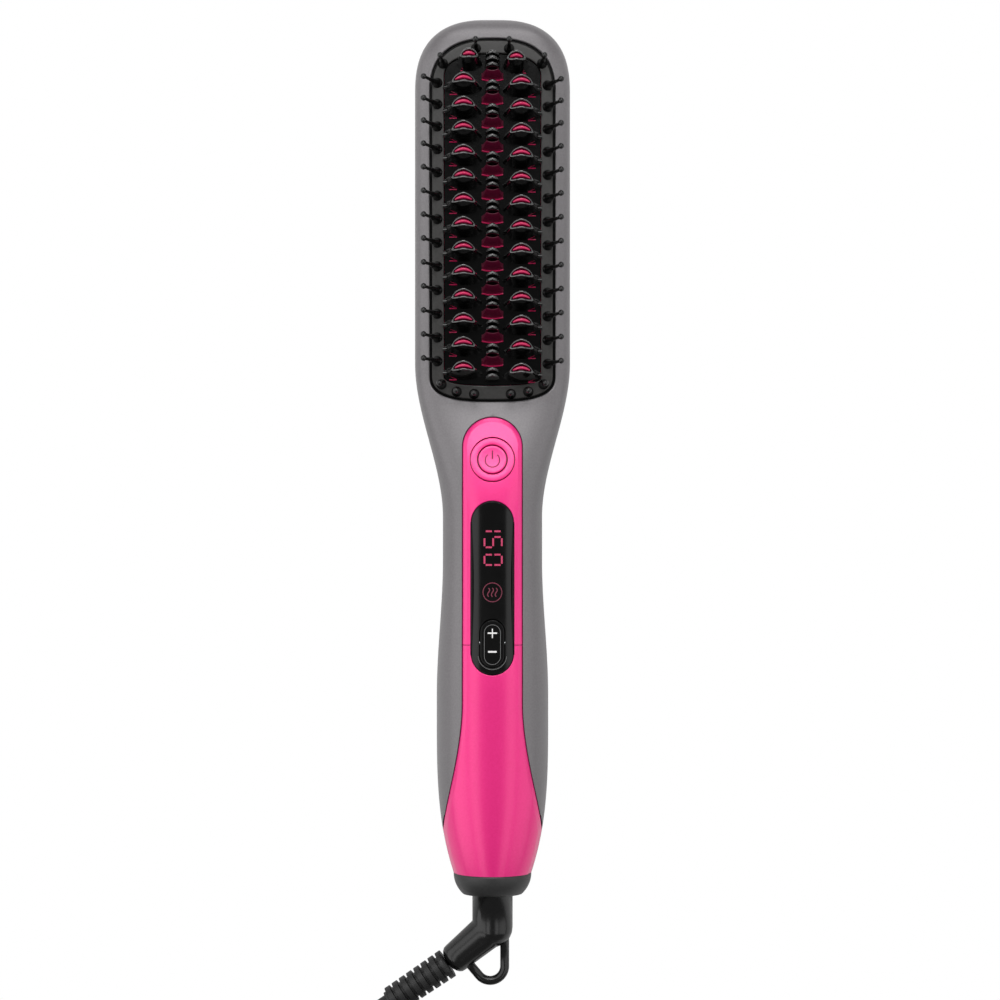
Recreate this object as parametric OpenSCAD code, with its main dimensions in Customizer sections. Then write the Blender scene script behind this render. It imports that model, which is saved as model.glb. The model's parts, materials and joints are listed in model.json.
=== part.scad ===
// Steam hair straightener brush with a swivel cord, in millimetres.
// +X is to the right, +Y runs along the handle to the head's tip, +Z is the side with the teeth.
// It lies on its back on z = 0, with the origin under the middle of its outline.

/* [Body lengths] */
// Head, from its tip to where it starts to narrow
head_len = 118.9; // [112:0.1:126]
// Shoulder, where the head narrows to the waist
shoulder_len = 53; // [47:0.5:60]
// Waist
waist_len = 15; // [10:0.5:22]
// Stretch where the waist swells to the grip
swell_len = 45.9; // [40:0.1:52]
// Grip at its full width
grip_len = 9; // [6:0.5:14]
// Taper from the grip to the end cap
taper_len = 52.5; // [48:0.5:58]
// Rounded tip of the head
tip_len = 26; // [22:0.5:30]
// End cap
cap_len = 7.2; // [6:0.1:9]
// Reach of the hang loop past the end cap
loop_reach = 31.7; // [30:0.1:34]

/* [Body sections] */
// Width of the head
head_w = 53.6; // [52:0.1:58]
// Width of the waist
waist_w = 34.2; // [33:0.1:38]
// Width of the grip
grip_w = 38.4; // [37:0.1:42]
// Diameter where the body meets the end cap
end_d = 26.8; // [26:0.1:29]
// Height of the handle's axis over the back
axis_z = 17; // [16.5:0.1:18]
// Height of the parting line in the head
head_part_z = 11; // [10:0.1:12]
// Height of the head's front face
head_top = 23; // [22.5:0.1:24]
// Height of the waist's front face
waist_top = 30; // [29.5:0.1:31.5]
// Height of the grip's front face
grip_top = 34; // [33.5:0.1:36]
// Height of the waist's back face
waist_lift = 3.2; // [2:0.1:3.6]
// Wall of the two housings
wall = 2.4; // [2.2:0.1:2.8]

/* [Fits] */
// Gap round each piece that is let into another
seam = 0.15; // [0.1:0.01:0.25]
// Radial clearance of a running fit
run_fit = 0.08; // [0.04:0.01:0.1]
// Side clearance of the rocker key
key_gap = 0.32; // [0.26:0.01:0.4]

/* [Pad in the head] */
// Length of the pad
pad_len = 125; // [121:0.5:128]
// Width of the pad
pad_w = 43.2; // [42:0.1:44.5]
// Margin between the head's tip and the pad
pad_margin = 7.4; // [6.5:0.1:8.5]
// Height of the pad's face
pad_z = 21.4; // [21:0.1:21.8]
// Thickness of the bristle frame
frame_t = 2.4; // [2:0.1:2.8]
// Breadth of the bristle frame's side
frame_side = 4.9; // [4.5:0.1:5]
// Breadth of the bristle frame's lower end
frame_foot = 5.6; // [5.3:0.1:5.6]
// Breadth of the bristle frame's upper end
frame_head = 5.2; // [5:0.1:5.3]

/* [Teeth] */
// Rows of teeth
rows = 14; // [10:1:14]
// Spacing of the rows
row_pitch = 8.17; // [7.9:0.01:8.3]
// Distance from the pad's upper end to the crest of the first left fin
first_row = 6.6; // [6.2:0.1:7.4]
// How much lower the right column stands
right_drop = 0.85; // [0:0.05:1.2]
// How much lower the middle column stands
middle_drop = 2.45; // [2:0.05:3]
// Distance from the middle to the side fins
fin_x = 9.85; // [9.8:0.05:10.2]
// Length of a hood at its foot
hood_len = 13.1; // [12:0.1:13.4]
// Breadth of a hood at its foot
hood_w = 5.2; // [4.8:0.1:5.6]
// Length of a hood at its crest
crest_len = 8.2; // [8:0.1:9]
// Breadth of a hood at its crest
crest_w = 3.6; // [3.4:0.1:3.8]
// Height of a hood over the heater plate
hood_h = 13.4; // [12.5:0.1:14]
// Length of a heated fin
fin_len = 6.2; // [5.6:0.1:6.6]
// Thickness of a heated fin
fin_t = 1.4; // [1.2:0.05:1.6]
// How far a fin's crest stands over its hood
fin_rise = 0.5; // [0.3:0.1:0.9]
// How far the teeth lean towards the tip
lean = 2.4; // [2:0.1:2.8]
// Length of a middle tooth
mid_len = 5.4; // [5:0.1:6]
// Height of a middle tooth over the heater plate
mid_h = 10.6; // [9.5:0.1:12]
// Distance between the two teeth of a pair
pair_gap = 2; // [1.8:0.1:2.2]
// Thickness of the guard plate between the teeth
guard_t = 1.6; // [1.2:0.1:1.8]

/* [Bristles] */
// Bristles along each side
side_bristles = 13; // [11:1:13]
// Spacing of the bristles
bristle_pitch = 8.15; // [8:0.01:8.3]
// Height of a bristle
bristle_h = 14.5; // [13:0.1:15]
// Radius of a bristle's foot
bristle_r = 1.8; // [1.6:0.05:1.85]
// Outward lean of the side bristles
bristle_lean = 19; // [15:1:21]
// Depth of a bristle's foot in the frame
bristle_root = 0.75; // [0.7:0.05:0.8]

/* [Handle panels] */
// Grey bridge between the pad and the fascia
bridge = 5.3; // [5:0.1:6]
// Length of the control fascia
fascia_len = 77.6; // [76:0.1:80]
// Width of the fascia
panel_w = 20.4; // [20.2:0.1:21]
// Thickness of the fascia and the handle cover
panel_t = 1.5; // [1.3:0.05:1.6]
// Ledge that carries the panels
ledge = 1.4; // [1.2:0.1:1.6]
// Straight stretch of the handle cover
cover_straight = 20.5; // [18:0.5:24]
// Stretch over which the cover flares to the sides
flare_len = 44; // [40:0.5:46]

/* [Controls] */
// Distance from the fascia's upper end to the power button
button_drop = 14.5; // [14:0.1:16]
// Radius of the power button
button_r = 4.88; // [4.6:0.02:5]
// Outer radius of the ring round the button
ring_r = 7.6; // [7.2:0.1:7.9]
// Travel of the power button
button_travel = 0.8; // [0.5:0.1:0.8]
// Distance from the fascia's upper end to the display window
window_drop = 28.7; // [28:0.1:30]
// Length of the display window
window_len = 59; // [58:0.1:60]
// Width of the display window
window_w = 14.3; // [14:0.1:14.8]
// Length of the rocker key
key_len = 16; // [15.4:0.1:16.4]
// Width of the rocker key
key_w = 8.2; // [7.8:0.1:8.4]
// Distance from the window's lower end to the middle of the key
key_rise = 10.6; // [10.4:0.1:11.4]
// Radius of the rocker's pin
pin_r = 0.8; // [0.7:0.05:0.9]

/* [Swivel and strain relief] */
// Diameter of the swivel's neck
neck_d = 13.9; // [13:0.1:14.5]
// Length of the neck that shows
neck_len = 11.7; // [11:0.1:13]
// Diameter of the elbow's leg
leg_d = 10.6; // [10:0.1:11]
// Thickness of the hang loop's bar
loop_bar = 3.1; // [2.8:0.1:3.4]
// Length of the ribbed strain relief
relief_len = 24; // [22:0.5:26]
// Ribs of the strain relief
relief_ribs = 8; // [6:1:10]

/* [Cord and plug] */
// Diameter of the cord
cord_d = 6; // [5.4:0.1:6.2]
// Turns of cord in each layer of the coil
layer_turns = 2.05; // [1.6:0.05:2.6]
// Inner radius of the coil, to the cord's centre
coil_r = 24; // [23:0.5:28]
// Distance between neighbouring turns
turn_pitch = 6.65; // [6.6:0.05:7]
// Free run of cord from the strain relief to the coil
lead_run = 30; // [28:0.5:34]
// Radius of the bend between the coil and the plug
tail_r = 36; // [30:1:40]
// Thickness of the tie's strap
tie_t = 0.5; // [0.4:0.1:0.8]
// Diameter of a plug pin
plug_pin_d = 4; // [3.8:0.1:4.8]
// Length of a plug pin
plug_pin_len = 19; // [17:0.5:19]
// Distance between the plug pins
plug_pin_gap = 18.6; // [17.5:0.1:19]
// Length of the plug's body
plug_len = 35; // [33:0.5:36]

/* [Inside] */
// Thickness of the heater plate
plate_t = 2.5; // [2:0.1:3]
// Thickness of the heating element
element_t = 3.5; // [3:0.1:4]
// Thickness of the clamp plate
clamp_t = 1; // [0.8:0.1:1.4]
// Height of the main circuit board
board_z = 10.2; // [10:0.1:10.6]
// Thickness of the circuit boards
board_t = 1.6; // [1.2:0.1:1.8]
// Height of the control board
control_z = 19.2; // [18.8:0.1:19.4]
// Width of the water tank
tank_w = 21; // [19:0.5:22]
// Length of the water tank
tank_len = 28; // [25:0.5:29]
// Height of the water tank
tank_h = 19.5; // [18:0.5:20]
// Radius of the filler plug's stem
plug_stem_r = 4; // [3.6:0.1:4.2]
// Radius of a screw's shank
screw_r = 1.1; // [1:0.05:1.2]

/* [Hidden] */

GREY = "#77757a";
PINK = "#e8309a";
BLACK = "#17171a";
DARK = "#3a3a3e";
STEEL = "#b8bcc2";
BRASS = "#c9a24a";
BOARD = "#2f6b44";

// Stations along the handle's axis, from the tip down
y_tip = (head_len + shoulder_len + waist_len + swell_len + grip_len + taper_len + cap_len
    + loop_reach) / 2;
y_arc = y_tip - tip_len;
y_head = y_tip - head_len;
y_waist = y_head - shoulder_len;
y_swell = y_waist - waist_len;
y_grip = y_swell - swell_len;
y_taper = y_grip - grip_len;
y_end = y_taper - taper_len;
y_cap = y_end - cap_len;
y_pad = y_tip - pad_margin;
y_pad_foot = y_pad - pad_len;
y_fascia = y_pad_foot - bridge;
y_seam = y_fascia - fascia_len;
y_flare = y_seam - cover_straight;
y_wing = y_flare - flare_len;
y_button = y_fascia - button_drop;
y_window = y_fascia - window_drop;
y_window_foot = y_window - window_len;
y_key = y_window_foot + key_rise;

// Roundness of the sections, as superellipse powers
head_front_n = 4.5;
head_back_n = 3.2;
handle_n = 2.3;
tip_n = 2.6;
tip_height_n = 3.4;
taper_n = 3;
flat_cut = 0.25;

// Heights of the stack under the pad
frame_z = pad_z - frame_t;
plate_z = frame_z - plate_t;
element_z = plate_z - element_t;
clamp_z = element_z - clamp_t;
shield_t = 0.8;
shield_z = wall + 1.2;
chamber_z = shield_z + shield_t;

function mix(a, b, t) = a + (b - a) * t;
function ease(a, b, y) = let (t = max(0, min(1, (y - a) / (b - a)))) t * t * (3 - 2 * t);
function tip_share(y, n) = y > y_arc ? pow(max(0, 1 - pow((y - y_arc) / tip_len, n)), 1 / n) : 1;
function end_share(y) = y < y_taper ? pow(min(1, (y_taper - y) / taper_len), taper_n) : 0;
function shoulder(y) = ease(y_waist, y_head, y);

// Half width, heights and roundness of the body at a station
function half_w(y) = y > y_waist ? mix(waist_w, head_w, shoulder(y)) / 2
    : mix(mix(waist_w, grip_w, ease(y_swell, y_grip, y)), end_d, end_share(y)) / 2;
function part_z(y) = mix(axis_z, head_part_z, shoulder(y));
function top_z(y) = y > y_waist ? mix(waist_top, head_top, shoulder(y))
    : mix(mix(waist_top, grip_top, ease(y_swell, y_grip, y)), axis_z + end_d / 2, end_share(y));
function back_z(y) = y > y_waist ? mix(waist_lift, -flat_cut, shoulder(y))
    : mix(mix(waist_lift, -flat_cut, ease(y_swell, y_grip, y)), axis_z - end_d / 2, end_share(y));
function front_n(y) = mix(mix(handle_n, head_front_n, shoulder(y)), 2, end_share(y));
function back_n(y) = mix(mix(handle_n, head_back_n, shoulder(y)), 2, end_share(y));

// Point of the skin, moved out by d, at angle a over (0..180) or under (-180..0) the parting line
function skin(y, a, d = 0) =
    let (s = y > y_arc ? y_arc + (y - y_arc) * tip_len / (tip_len + d) : y,
        n = a < 0 ? back_n(y) : front_n(y),
        rise = a < 0 ? back_z(y) - part_z(y) - d : top_z(y) - part_z(y) + d,
        x = (half_w(y) + d) * sign(cos(a)) * pow(abs(cos(a)), 2 / n) * tip_share(s, tip_n),
        z = part_z(y) + rise * pow(abs(sin(a)), 2 / n) * tip_share(s, tip_height_n))
    [x, y, max(z, -d)];

// Angle at which the front skin, moved out by d, is x away from the middle
function skin_angle(y, x, d) = acos(pow(min(1, x / (half_w(y) + d)), front_n(y) / 2));

// Height of the front skin at x
function skin_z(y, x, d = 0) = skin(y, skin_angle(y, abs(x), d), d)[2];

function span(a, b, n) = [for (i = [0:n]) mix(a, b, i / n)];

// Stations for a loft of the body, closer together where it curves. The hollow ends at y_hollow.
y_hollow = y_tip - wall - 0.15;
step_back = 0.1;
tip_stations = [for (i = [7:-1:1]) y_arc + tip_len * pow(sin(88 * i / 7), 2 / tip_n)];
body_stations = concat(
    [for (y = tip_stations) if (y > y_hollow + 2 * step_back) y],
    [y_hollow + step_back, y_hollow],
    [for (y = tip_stations) if (y < y_hollow - step_back) y],
    [y_arc],
    span(y_head, y_waist, 7),
    span(y_swell, y_grip, 6),
    span(y_taper, y_end, 6)
);

// Solid through rings of equally many points. A thin ring runs along its outside and back along
// its inside, and its ends close from side to side.
module loft(rings, thin = false) {
    m = len(rings[0]);
    n = len(rings);
    e = (n - 1) * m;
    sides = [for (i = [0:n - 2], k = [0:m - 1])
        let (a = i * m + k, b = i * m + (k + 1) % m)
        each [[a, a + m, b + m], [a, b + m, b]]];
    ends = thin
        ? [for (k = [0:m / 2 - 2])
            let (a = k, b = k + 1, c = m - 2 - k, d = m - 1 - k)
            each [[a, b, c], [a, c, d], [e + c, e + b, e + a], [e + d, e + c, e + a]]]
        : [for (k = [1:m - 2]) each [[0, k, k + 1], [e + k + 1, e + k, e]]];
    polyhedron([for (r = rings) each r], concat(sides, ends));
}

// Shell of the front (side 1) or back (side -1) half of the body
module body_shell(side, arc_steps) {
    narrow = skin(y_hollow, 0, -wall)[0] / skin(y_hollow, 0)[0];
    function inside(y, a) = y <= y_hollow ? skin(y, a, -wall)
        : let (p = skin(y, a)) [narrow * p[0], y, mix(part_z(y), p[2], 0.05)];
    from = side > 0 ? 0 : -180;
    loft([for (y = body_stations) concat(
        [for (a = span(from, from + 180, arc_steps)) skin(y, a)],
        [for (a = span(from + 180, from, arc_steps)) inside(y, a)]
    )], thin = true);
}

// Stretch of the front skin between two depths, half(y) wide to each side
module skin_sheet(stations, halves, d_out, d_in, arc_steps) {
    loft([for (i = [0:len(stations) - 1])
        let (y = stations[i],
            a_out = skin_angle(y, halves[i], d_out),
            a_in = skin_angle(y, halves[i], d_in))
        concat(
            [for (a = span(a_out, 180 - a_out, arc_steps)) skin(y, a, d_out)],
            [for (a = span(180 - a_in, a_in, arc_steps)) skin(y, a, d_in)]
        )], thin = true);
}

// Pad outline, moved in by d: a superellipse at each end
pad_head_r = 19;
pad_foot_r = 9.5;
function pad_outline(d) =
    let (a = pad_w / 2 - d,
        top = pad_head_r - d,
        foot = pad_foot_r - d)
    concat(
        [for (t = span(0, 180, 28)) [
            a * sign(cos(t)) * pow(abs(cos(t)), 2 / 2.5),
            y_pad - pad_head_r + top * pow(sin(t), 2 / 2.5)
        ]],
        [for (t = span(180, 360, 20)) [
            a * sign(cos(t)) * pow(abs(cos(t)), 2 / 2.8),
            y_pad_foot + pad_foot_r - foot * pow(-sin(t) + 1e-9, 2 / 2.8)
        ]]
    );

// Window in the bristle frame, moved in by d
window_half = pad_w / 2 - frame_side;
window_head_r = 8;
window_foot_r = 3;
function frame_window(d) =
    let (a = window_half - d,
        top = y_pad - frame_head,
        foot = y_pad_foot + frame_foot)
    concat(
        [for (t = span(0, 180, 24)) [
            a * sign(cos(t)) * pow(abs(cos(t)), 2 / 2.4),
            top - window_head_r + (window_head_r - d) * pow(sin(t), 2 / 2.4)
        ]],
        [for (t = span(180, 360, 16)) [
            a * sign(cos(t)) * pow(abs(cos(t)), 2 / 2.4),
            foot + window_foot_r - (window_foot_r - d) * pow(-sin(t) + 1e-9, 2 / 2.4)
        ]]
    );

// Half width of the pink panels at a station
function panel_half(y) =
    let (r = panel_w / 2, u = y - (y_fascia - r))
    u > 0 ? sqrt(max(0.01, r * r - u * u))
    : y > y_flare ? r
    : mix(r, half_w(y), min(1, pow((y_flare - y) / flare_len, 1.7)));

function fascia_stations() = concat(
    [for (t = [86, 70, 54, 38, 20, 0]) y_fascia - panel_w / 2 * (1 - sin(t))],
    span(y_fascia - panel_w / 2 - 8, y_seam + seam / 2, 8)
);
function cover_stations() = concat(
    span(y_seam - seam / 2, y_flare, 2),
    [for (y = span(y_flare, y_wing, 7)) if (y < y_flare) y],
    [for (y = span(y_wing, y_end, 3)) if (y < y_wing) y]
);

// Straight sides and two true arcs, as wide as w and as long as len, from z0 to z1
module slot_block(len, w, z0, z1) {
    translate([0, 0, z0]) {
        for (s = [-1, 1]) translate([0, s * (len - w) / 2, 0]) cylinder(d = w, h = z1 - z0, $fn = 64);
        translate([-w / 2, (w - len) / 2, 0]) cube([w, len - w, z1 - z0]);
    }
}

// Places of the screws from the back
head_screw_x = pad_w / 2 - 2;
head_screws = [for (y = [y_pad - 20, y_pad_foot + 21], s = [-1, 1]) [s * head_screw_x, y]];
boss_r = screw_r + 0.8;
screw_head_r = 2.3;
screw_head_z = 6;
head_boss_r = screw_head_r + 1.1;
head_boss_z = 13.6;
shield_posts = [for (y = [y_pad - 25, y_pad_foot + 30], s = [-1, 1]) [s * 12, y]];
board_top = y_fascia - 9.5 - boss_r;
board_foot = y_fascia - 86;
board_half = 10.2;
board_posts = [for (y = [board_top - 6, board_foot + 22], s = [-1, 1]) [s * 8, y]];

module front_housing() {
    function opening_half(y) = panel_half(y) - mix(ledge, -2 * seam, ease(y_flare - 14, y_wing + 8, y));
    recess_y = concat([y_fascia + seam], fascia_stations(),
        [for (y = cover_stations()) if (y > y_wing) y], [y_wing]);
    color(GREY)
    difference() {
        body_shell(1, 16);
        translate([0, 0, head_part_z + 3]) linear_extrude(30) polygon(pad_outline(0));
        skin_sheet(recess_y, [for (y = recess_y) panel_half(y) + seam], 3, -panel_t - 0.05, 12);
        opening_y = concat(span(y_fascia - 3, y_flare, 8), span(y_flare - 4, y_wing + 2, 6));
        translate([0, 0, 5]) linear_extrude(40) polygon(concat(
            [for (y = opening_y) [opening_half(y), y]],
            [[head_w / 2, y_wing], [head_w / 2, y_end - 2]],
            [[-head_w / 2, y_end - 2], [-head_w / 2, y_wing]],
            [for (i = [len(opening_y) - 1:-1:0]) [-opening_half(opening_y[i]), opening_y[i]]]
        ));
    }
}

module rear_housing() {
    color(GREY)
    difference() {
        union() {
            body_shell(-1, 12);
            for (p = head_screws)
                translate([p[0], p[1], wall]) cylinder(r = head_boss_r, h = head_boss_z - wall, $fn = 32);
            for (p = shield_posts)
                translate([p[0], p[1], wall / 2]) cylinder(r = 1.6, h = shield_z - wall / 2, $fn = 32);
            for (p = board_posts)
                translate([p[0], p[1], wall + 2.2]) cylinder(r = 1.5, h = board_z - wall - 2.2, $fn = 32);
            for (y = [pump_y - 4, pump_y - pump_len + 4])
                translate([0, y, wall / 2]) cylinder(r = 2, h = pump_z - pump_r - wall / 2, $fn = 32);
            for (s = [-1, 1])
                translate([s * 6, tank_y - 5, wall]) cylinder(r = 1.5, h = tank_z - wall, $fn = 32);
        }
        for (p = head_screws) {
            translate([p[0], p[1], -1]) cylinder(r = screw_head_r + 0.3, h = screw_head_z + 1, $fn = 32);
            translate([p[0], p[1], -1]) cylinder(r = screw_r + 0.2, h = head_boss_z + 2, $fn = 32);
        }
        translate([0, filler_y, -1]) cylinder(r = filler_head_r + 0.2, h = filler_seat_z + 1, $fn = 64);
        translate([0, filler_y, -1]) cylinder(r = filler_neck_r + run_fit, h = 10, $fn = 64);
    }
}

// End cap: rounded skirt, spigot into the body, bore for the swivel's neck
cap_floor = 2.6;
flange_t = 1.4;
flange_r = neck_d / 2 + 1.8;
spigot_r = end_d / 2 - wall - 0.1;
spigot_len = 3;
module end_cap() {
    color(DARK)
    translate([0, y_end, axis_z]) rotate([90, 0, 0])
        rotate_extrude($fn = 72) polygon(concat(
            [[neck_d / 2 + run_fit, cap_len], [neck_d / 2 + run_fit, cap_len - cap_floor]],
            [[flange_r + 0.3, cap_len - cap_floor], [flange_r + 0.3, -spigot_len]],
            [[spigot_r, -spigot_len], [spigot_r, 0]],
            [for (t = span(0, 1, 8)) [end_d / 2 - 2.5 * pow(t, 2.2), (cap_len - 0.6) * t]],
            [[end_d / 2 - 3.1, cap_len]]
        ));
}

module ring_axis() {
    tilt = atan((top_z(y_button - 1) - top_z(y_button + 1)) / 2);
    translate([0, y_button, top_z(y_button)]) rotate([-tilt, 0, 0]) children();
}

// Posts under the fascia that carry the control board
post_r = 0.7;
post_x = window_w / 2 + seam + post_r;
control_posts = [for (y = [y_fascia - 24, y_seam + 4], s = [-1, 1]) [s * post_x, y]];
module control_fascia() {
    stations = fascia_stations();
    color(PINK)
    difference() {
        union() {
            skin_sheet(stations, [for (y = stations) panel_half(y)], 0, -panel_t, 14);
            for (p = control_posts) translate([p[0], p[1], control_z + board_t])
                cylinder(r = post_r, h = skin_z(p[1], p[0]) - 0.8 - control_z - board_t, $fn = 32);
        }
        ring_axis() translate([0, 0, -6]) cylinder(r = ring_r + run_fit, h = 12, $fn = 72);
        translate([0, (y_window + y_window_foot) / 2, 0])
            slot_block(window_len + 2 * seam, window_w + 2 * seam, 22, 45);
    }
}

module handle_cover() {
    stations = cover_stations();
    color(PINK)
    difference() {
        skin_sheet(stations, [for (y = stations) y > y_wing ? panel_half(y) : half_w(y)], 0, -panel_t, 14);
        translate([0, (y_window + y_window_foot) / 2, 0])
            slot_block(window_len + 2 * seam, window_w + 2 * seam, 22, 45);
    }
}

// Frame round the teeth, with bosses for the screws from the back
module bristle_frame() {
    color(DARK)
    difference() {
        union() {
            translate([0, 0, frame_z]) linear_extrude(frame_t) polygon(pad_outline(2 * seam));
            for (p = head_screws) translate([p[0], p[1], head_boss_z])
                cylinder(r = boss_r, h = frame_z - head_boss_z + 0.5, $fn = 32);
        }
        translate([0, 0, frame_z - 1]) linear_extrude(frame_t + 2) polygon(frame_window(0));
        for (p = head_screws)
            translate([p[0], p[1], head_boss_z - 1]) cylinder(r = screw_r, h = 5.5, $fn = 32);
        for (p = heater_screw_places)
            translate([p[0], p[1], frame_z - 1]) cylinder(r = screw_r, h = 2.4, $fn = 32);
        for (b = bristle_places) at_bristle(b) cylinder(r = bristle_r + 0.03, h = 3, $fn = 32);
    }
}

// One bristle: stepped foot, slim pin, ball tip
pin_tip_r = 1.05;
module bristle() {
    h = bristle_h + bristle_root;
    rotate_extrude($fn = 24) polygon(concat(
        [[0, 0], [bristle_r, 0], [bristle_r, 1.1], [0.95, 5], [0.6, 5.6]],
        [for (t = [-55, -10, 35, 70]) [pin_tip_r * cos(t), h - pin_tip_r + pin_tip_r * sin(t)]],
        [[0, h]]
    ));
}
module at_bristle(b) {
    translate([b[0], b[1], pad_z]) rotate([-b[3], b[2], 0]) translate([0, 0, -bristle_root]) children();
}

// Places and leans of the bristles: [x, y, sideways lean, lean towards the tip]
side_x = pad_w / 2 - 2.6;
squeeze = 0.16;
function side_y(k) = k == 0 ? y_pad - 15.4 : side_y(k - 1) - bristle_pitch * (1 - squeeze * exp(-k / 2.2));
bristle_places = concat(
    [for (k = [0:side_bristles - 1]) [-side_x, side_y(k), -bristle_lean, 2]],
    [for (k = [0:side_bristles - 1]) [side_x, side_y(k) - 0.9, bristle_lean, 2]],
    [for (s = [-1, 1]) [s * 17, y_pad - 8.8, s * 3, 4]],
    [for (s = [-1, 1]) [s * 5.7, y_pad - 3.6, 0, 5]],
    [for (s = [-1, 1]) [s * 17.5, y_pad_foot + 6.1, s * 2, 0]],
    [for (s = [-1, 1]) [s * 12.3, y_pad_foot + 3.6, 0, 0]],
    [for (s = [-1, 1]) [s * 6.3, y_pad_foot + 2.8, 0, 0]]
);
module edge_bristles() {
    color(BLACK)
    for (b = bristle_places) at_bristle(b) bristle();
}

// Lens-shaped tooth that leans towards the tip, with an arched crest
module lens_tooth(foot_len, foot_w, top_len, top_w, h, lean_y, arch, sides) {
    half = sides / 2;
    function lens(len, w, z, dy, arch) = [for (k = [0:sides - 1])
        let (t = 360 * k / sides, x = len / 2 * cos(t))
        [x, dy + w / 2 * sign(sin(t)) * pow(abs(sin(t)), 1.3), z - arch * pow(cos(t), 2)]];
    foot = lens(foot_len, foot_w, 0, 0, 0);
    middle = lens(mix(foot_len, top_len, 0.42), mix(foot_w, top_w, 0.35), h * 0.55, lean_y * 0.5, 0);
    crest = lens(top_len, top_w, h, lean_y, arch);
    walls = [for (i = [0:1], k = [0:sides - 1])
        let (a = i * sides + k, b = i * sides + (k + 1) % sides)
        each [[a, a + sides, b + sides], [a, b + sides, b]]];
    top = 2 * sides;
    lid = concat(
        [[top, top + sides - 1, top + 1], [top + half, top + half - 1, top + half + 1]],
        [for (k = [1:half - 2])
            let (far = top + sides - k)
            each [[top + k, far, far - 1], [top + k, far - 1, top + k + 1]]]
    );
    floor = [for (k = [0:sides - 1]) k];
    polyhedron(concat(foot, middle, crest), concat(walls, lid, [floor]));
}

function fin_y(k) = y_pad - first_row - lean - row_pitch * k;
// Length lost at a hood's outer end, where the frame's window narrows
function hood_cut(y) = 0.45 * max(0, y - (y_pad - 17.5));
fin_places = [for (k = [0:rows - 1], s = [-1, 1]) [s, fin_y(k) - (s > 0 ? right_drop : 0)]];

// Fin, or with grow the slot for it, which reaches past both ends along the same lean
module fin(side, y, grow) {
    h = hood_h + fin_rise + 0.4;
    past = grow > 0 ? 1.5 : 0;
    translate([side * fin_x, y - past * lean / h, frame_z - 0.4 - past])
        lens_tooth(fin_len + 2 * grow, fin_t + 2 * grow, fin_len + 2 * grow, fin_t + 2 * grow,
            h + 2 * past, lean * (1 + 2 * past / h), 1, 8);
}

// Heater plate with its fins
plate_half = pad_w / 2 - 4.3;
heater_screw_places = concat(
    [for (s = [-1, 1]) [s * 6, y_pad - 2.6]],
    [for (s = [-1, 1]) [s * 9.5, y_pad_foot + 2.9]]
);
module heater_plate() {
    color(PINK)
    difference() {
        union() {
            translate([0, 0, plate_z]) linear_extrude(plate_t) intersection() {
                polygon(pad_outline(1));
                translate([-plate_half, y_pad_foot - 5]) square([2 * plate_half, pad_len + 10]);
            }
            for (p = fin_places) fin(p[0], p[1], 0);
            for (k = [0:rows - 2]) translate([0, fin_y(k) - middle_drop, frame_z - 0.3]) middle_fin();
        }
        for (p = heater_screw_places)
            translate([p[0], p[1], plate_z - 1]) cylinder(r = screw_r + 0.1, h = 5, $fn = 32);
    }
}

// Fin in front of each pair of middle teeth: [height, half breadth, back, front at the middle]
module middle_fin() {
    loft([for (r = [[0, 3.9, -1.1, -3.4], [0.9, 3.2, -1, -2.6], [7.2, 2, 0.2, -0.4]])
        concat(
            [[r[1], r[2], r[0]], [-r[1], r[2], r[0]]],
            [for (t = span(-1, 1, 6)) [r[1] * t, r[3] + 0.5 * t * t, r[0]]]
        )]);
}

// Black guard: a plate in the frame's window with a hood over each side fin
hood_foot = 0.5;
tooth_w = 1.9;
module fin_hoods() {
    color(BLACK)
    difference() {
        union() {
            translate([0, 0, frame_z]) linear_extrude(guard_t) polygon(frame_window(seam));
            for (p = fin_places) {
                cut = hood_cut(p[1]);
                translate([p[0] * (fin_x - cut / 2), p[1], frame_z + hood_foot])
                    lens_tooth(hood_len - cut, hood_w, crest_len - cut / 2, crest_w, hood_h - hood_foot,
                        lean, 1.6, 14);
            }
        }
        for (p = fin_places) fin(p[0], p[1], seam);
        for (k = [0:rows - 1]) translate([0, fin_y(k) - middle_drop, frame_z - 1]) {
            slot_half = mid_len / 2 + seam;
            translate([-slot_half, -1.1, 0])
                cube([2 * slot_half, tooth_count(k) * pair_gap + 0.6, guard_t + 2]);
            if (k < rows - 1) translate([-3.85, -3.55, 0]) cube([7.7, 2.9, guard_t + 2]);
        }
    }
}

// Middle teeth stand in pairs, and the first pair has one more above it
function tooth_count(k) = k == 0 ? 3 : 2;
module middle_teeth() {
    color(BLACK)
    for (k = [0:rows - 1]) translate([0, fin_y(k) - middle_drop, frame_z]) {
        n = tooth_count(k);
        translate([-mid_len / 2, -0.8, 0]) cube([mid_len, (n - 1) * pair_gap + 1.4, guard_t]);
        for (j = [0:n - 1]) translate([0, pair_gap * j, 0])
            lens_tooth(mid_len, tooth_w, mid_len - 1, 1.3, mid_h - (j == 1 ? 0 : 0.8), lean - 0.6, 1.4, 8);
    }
}

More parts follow.
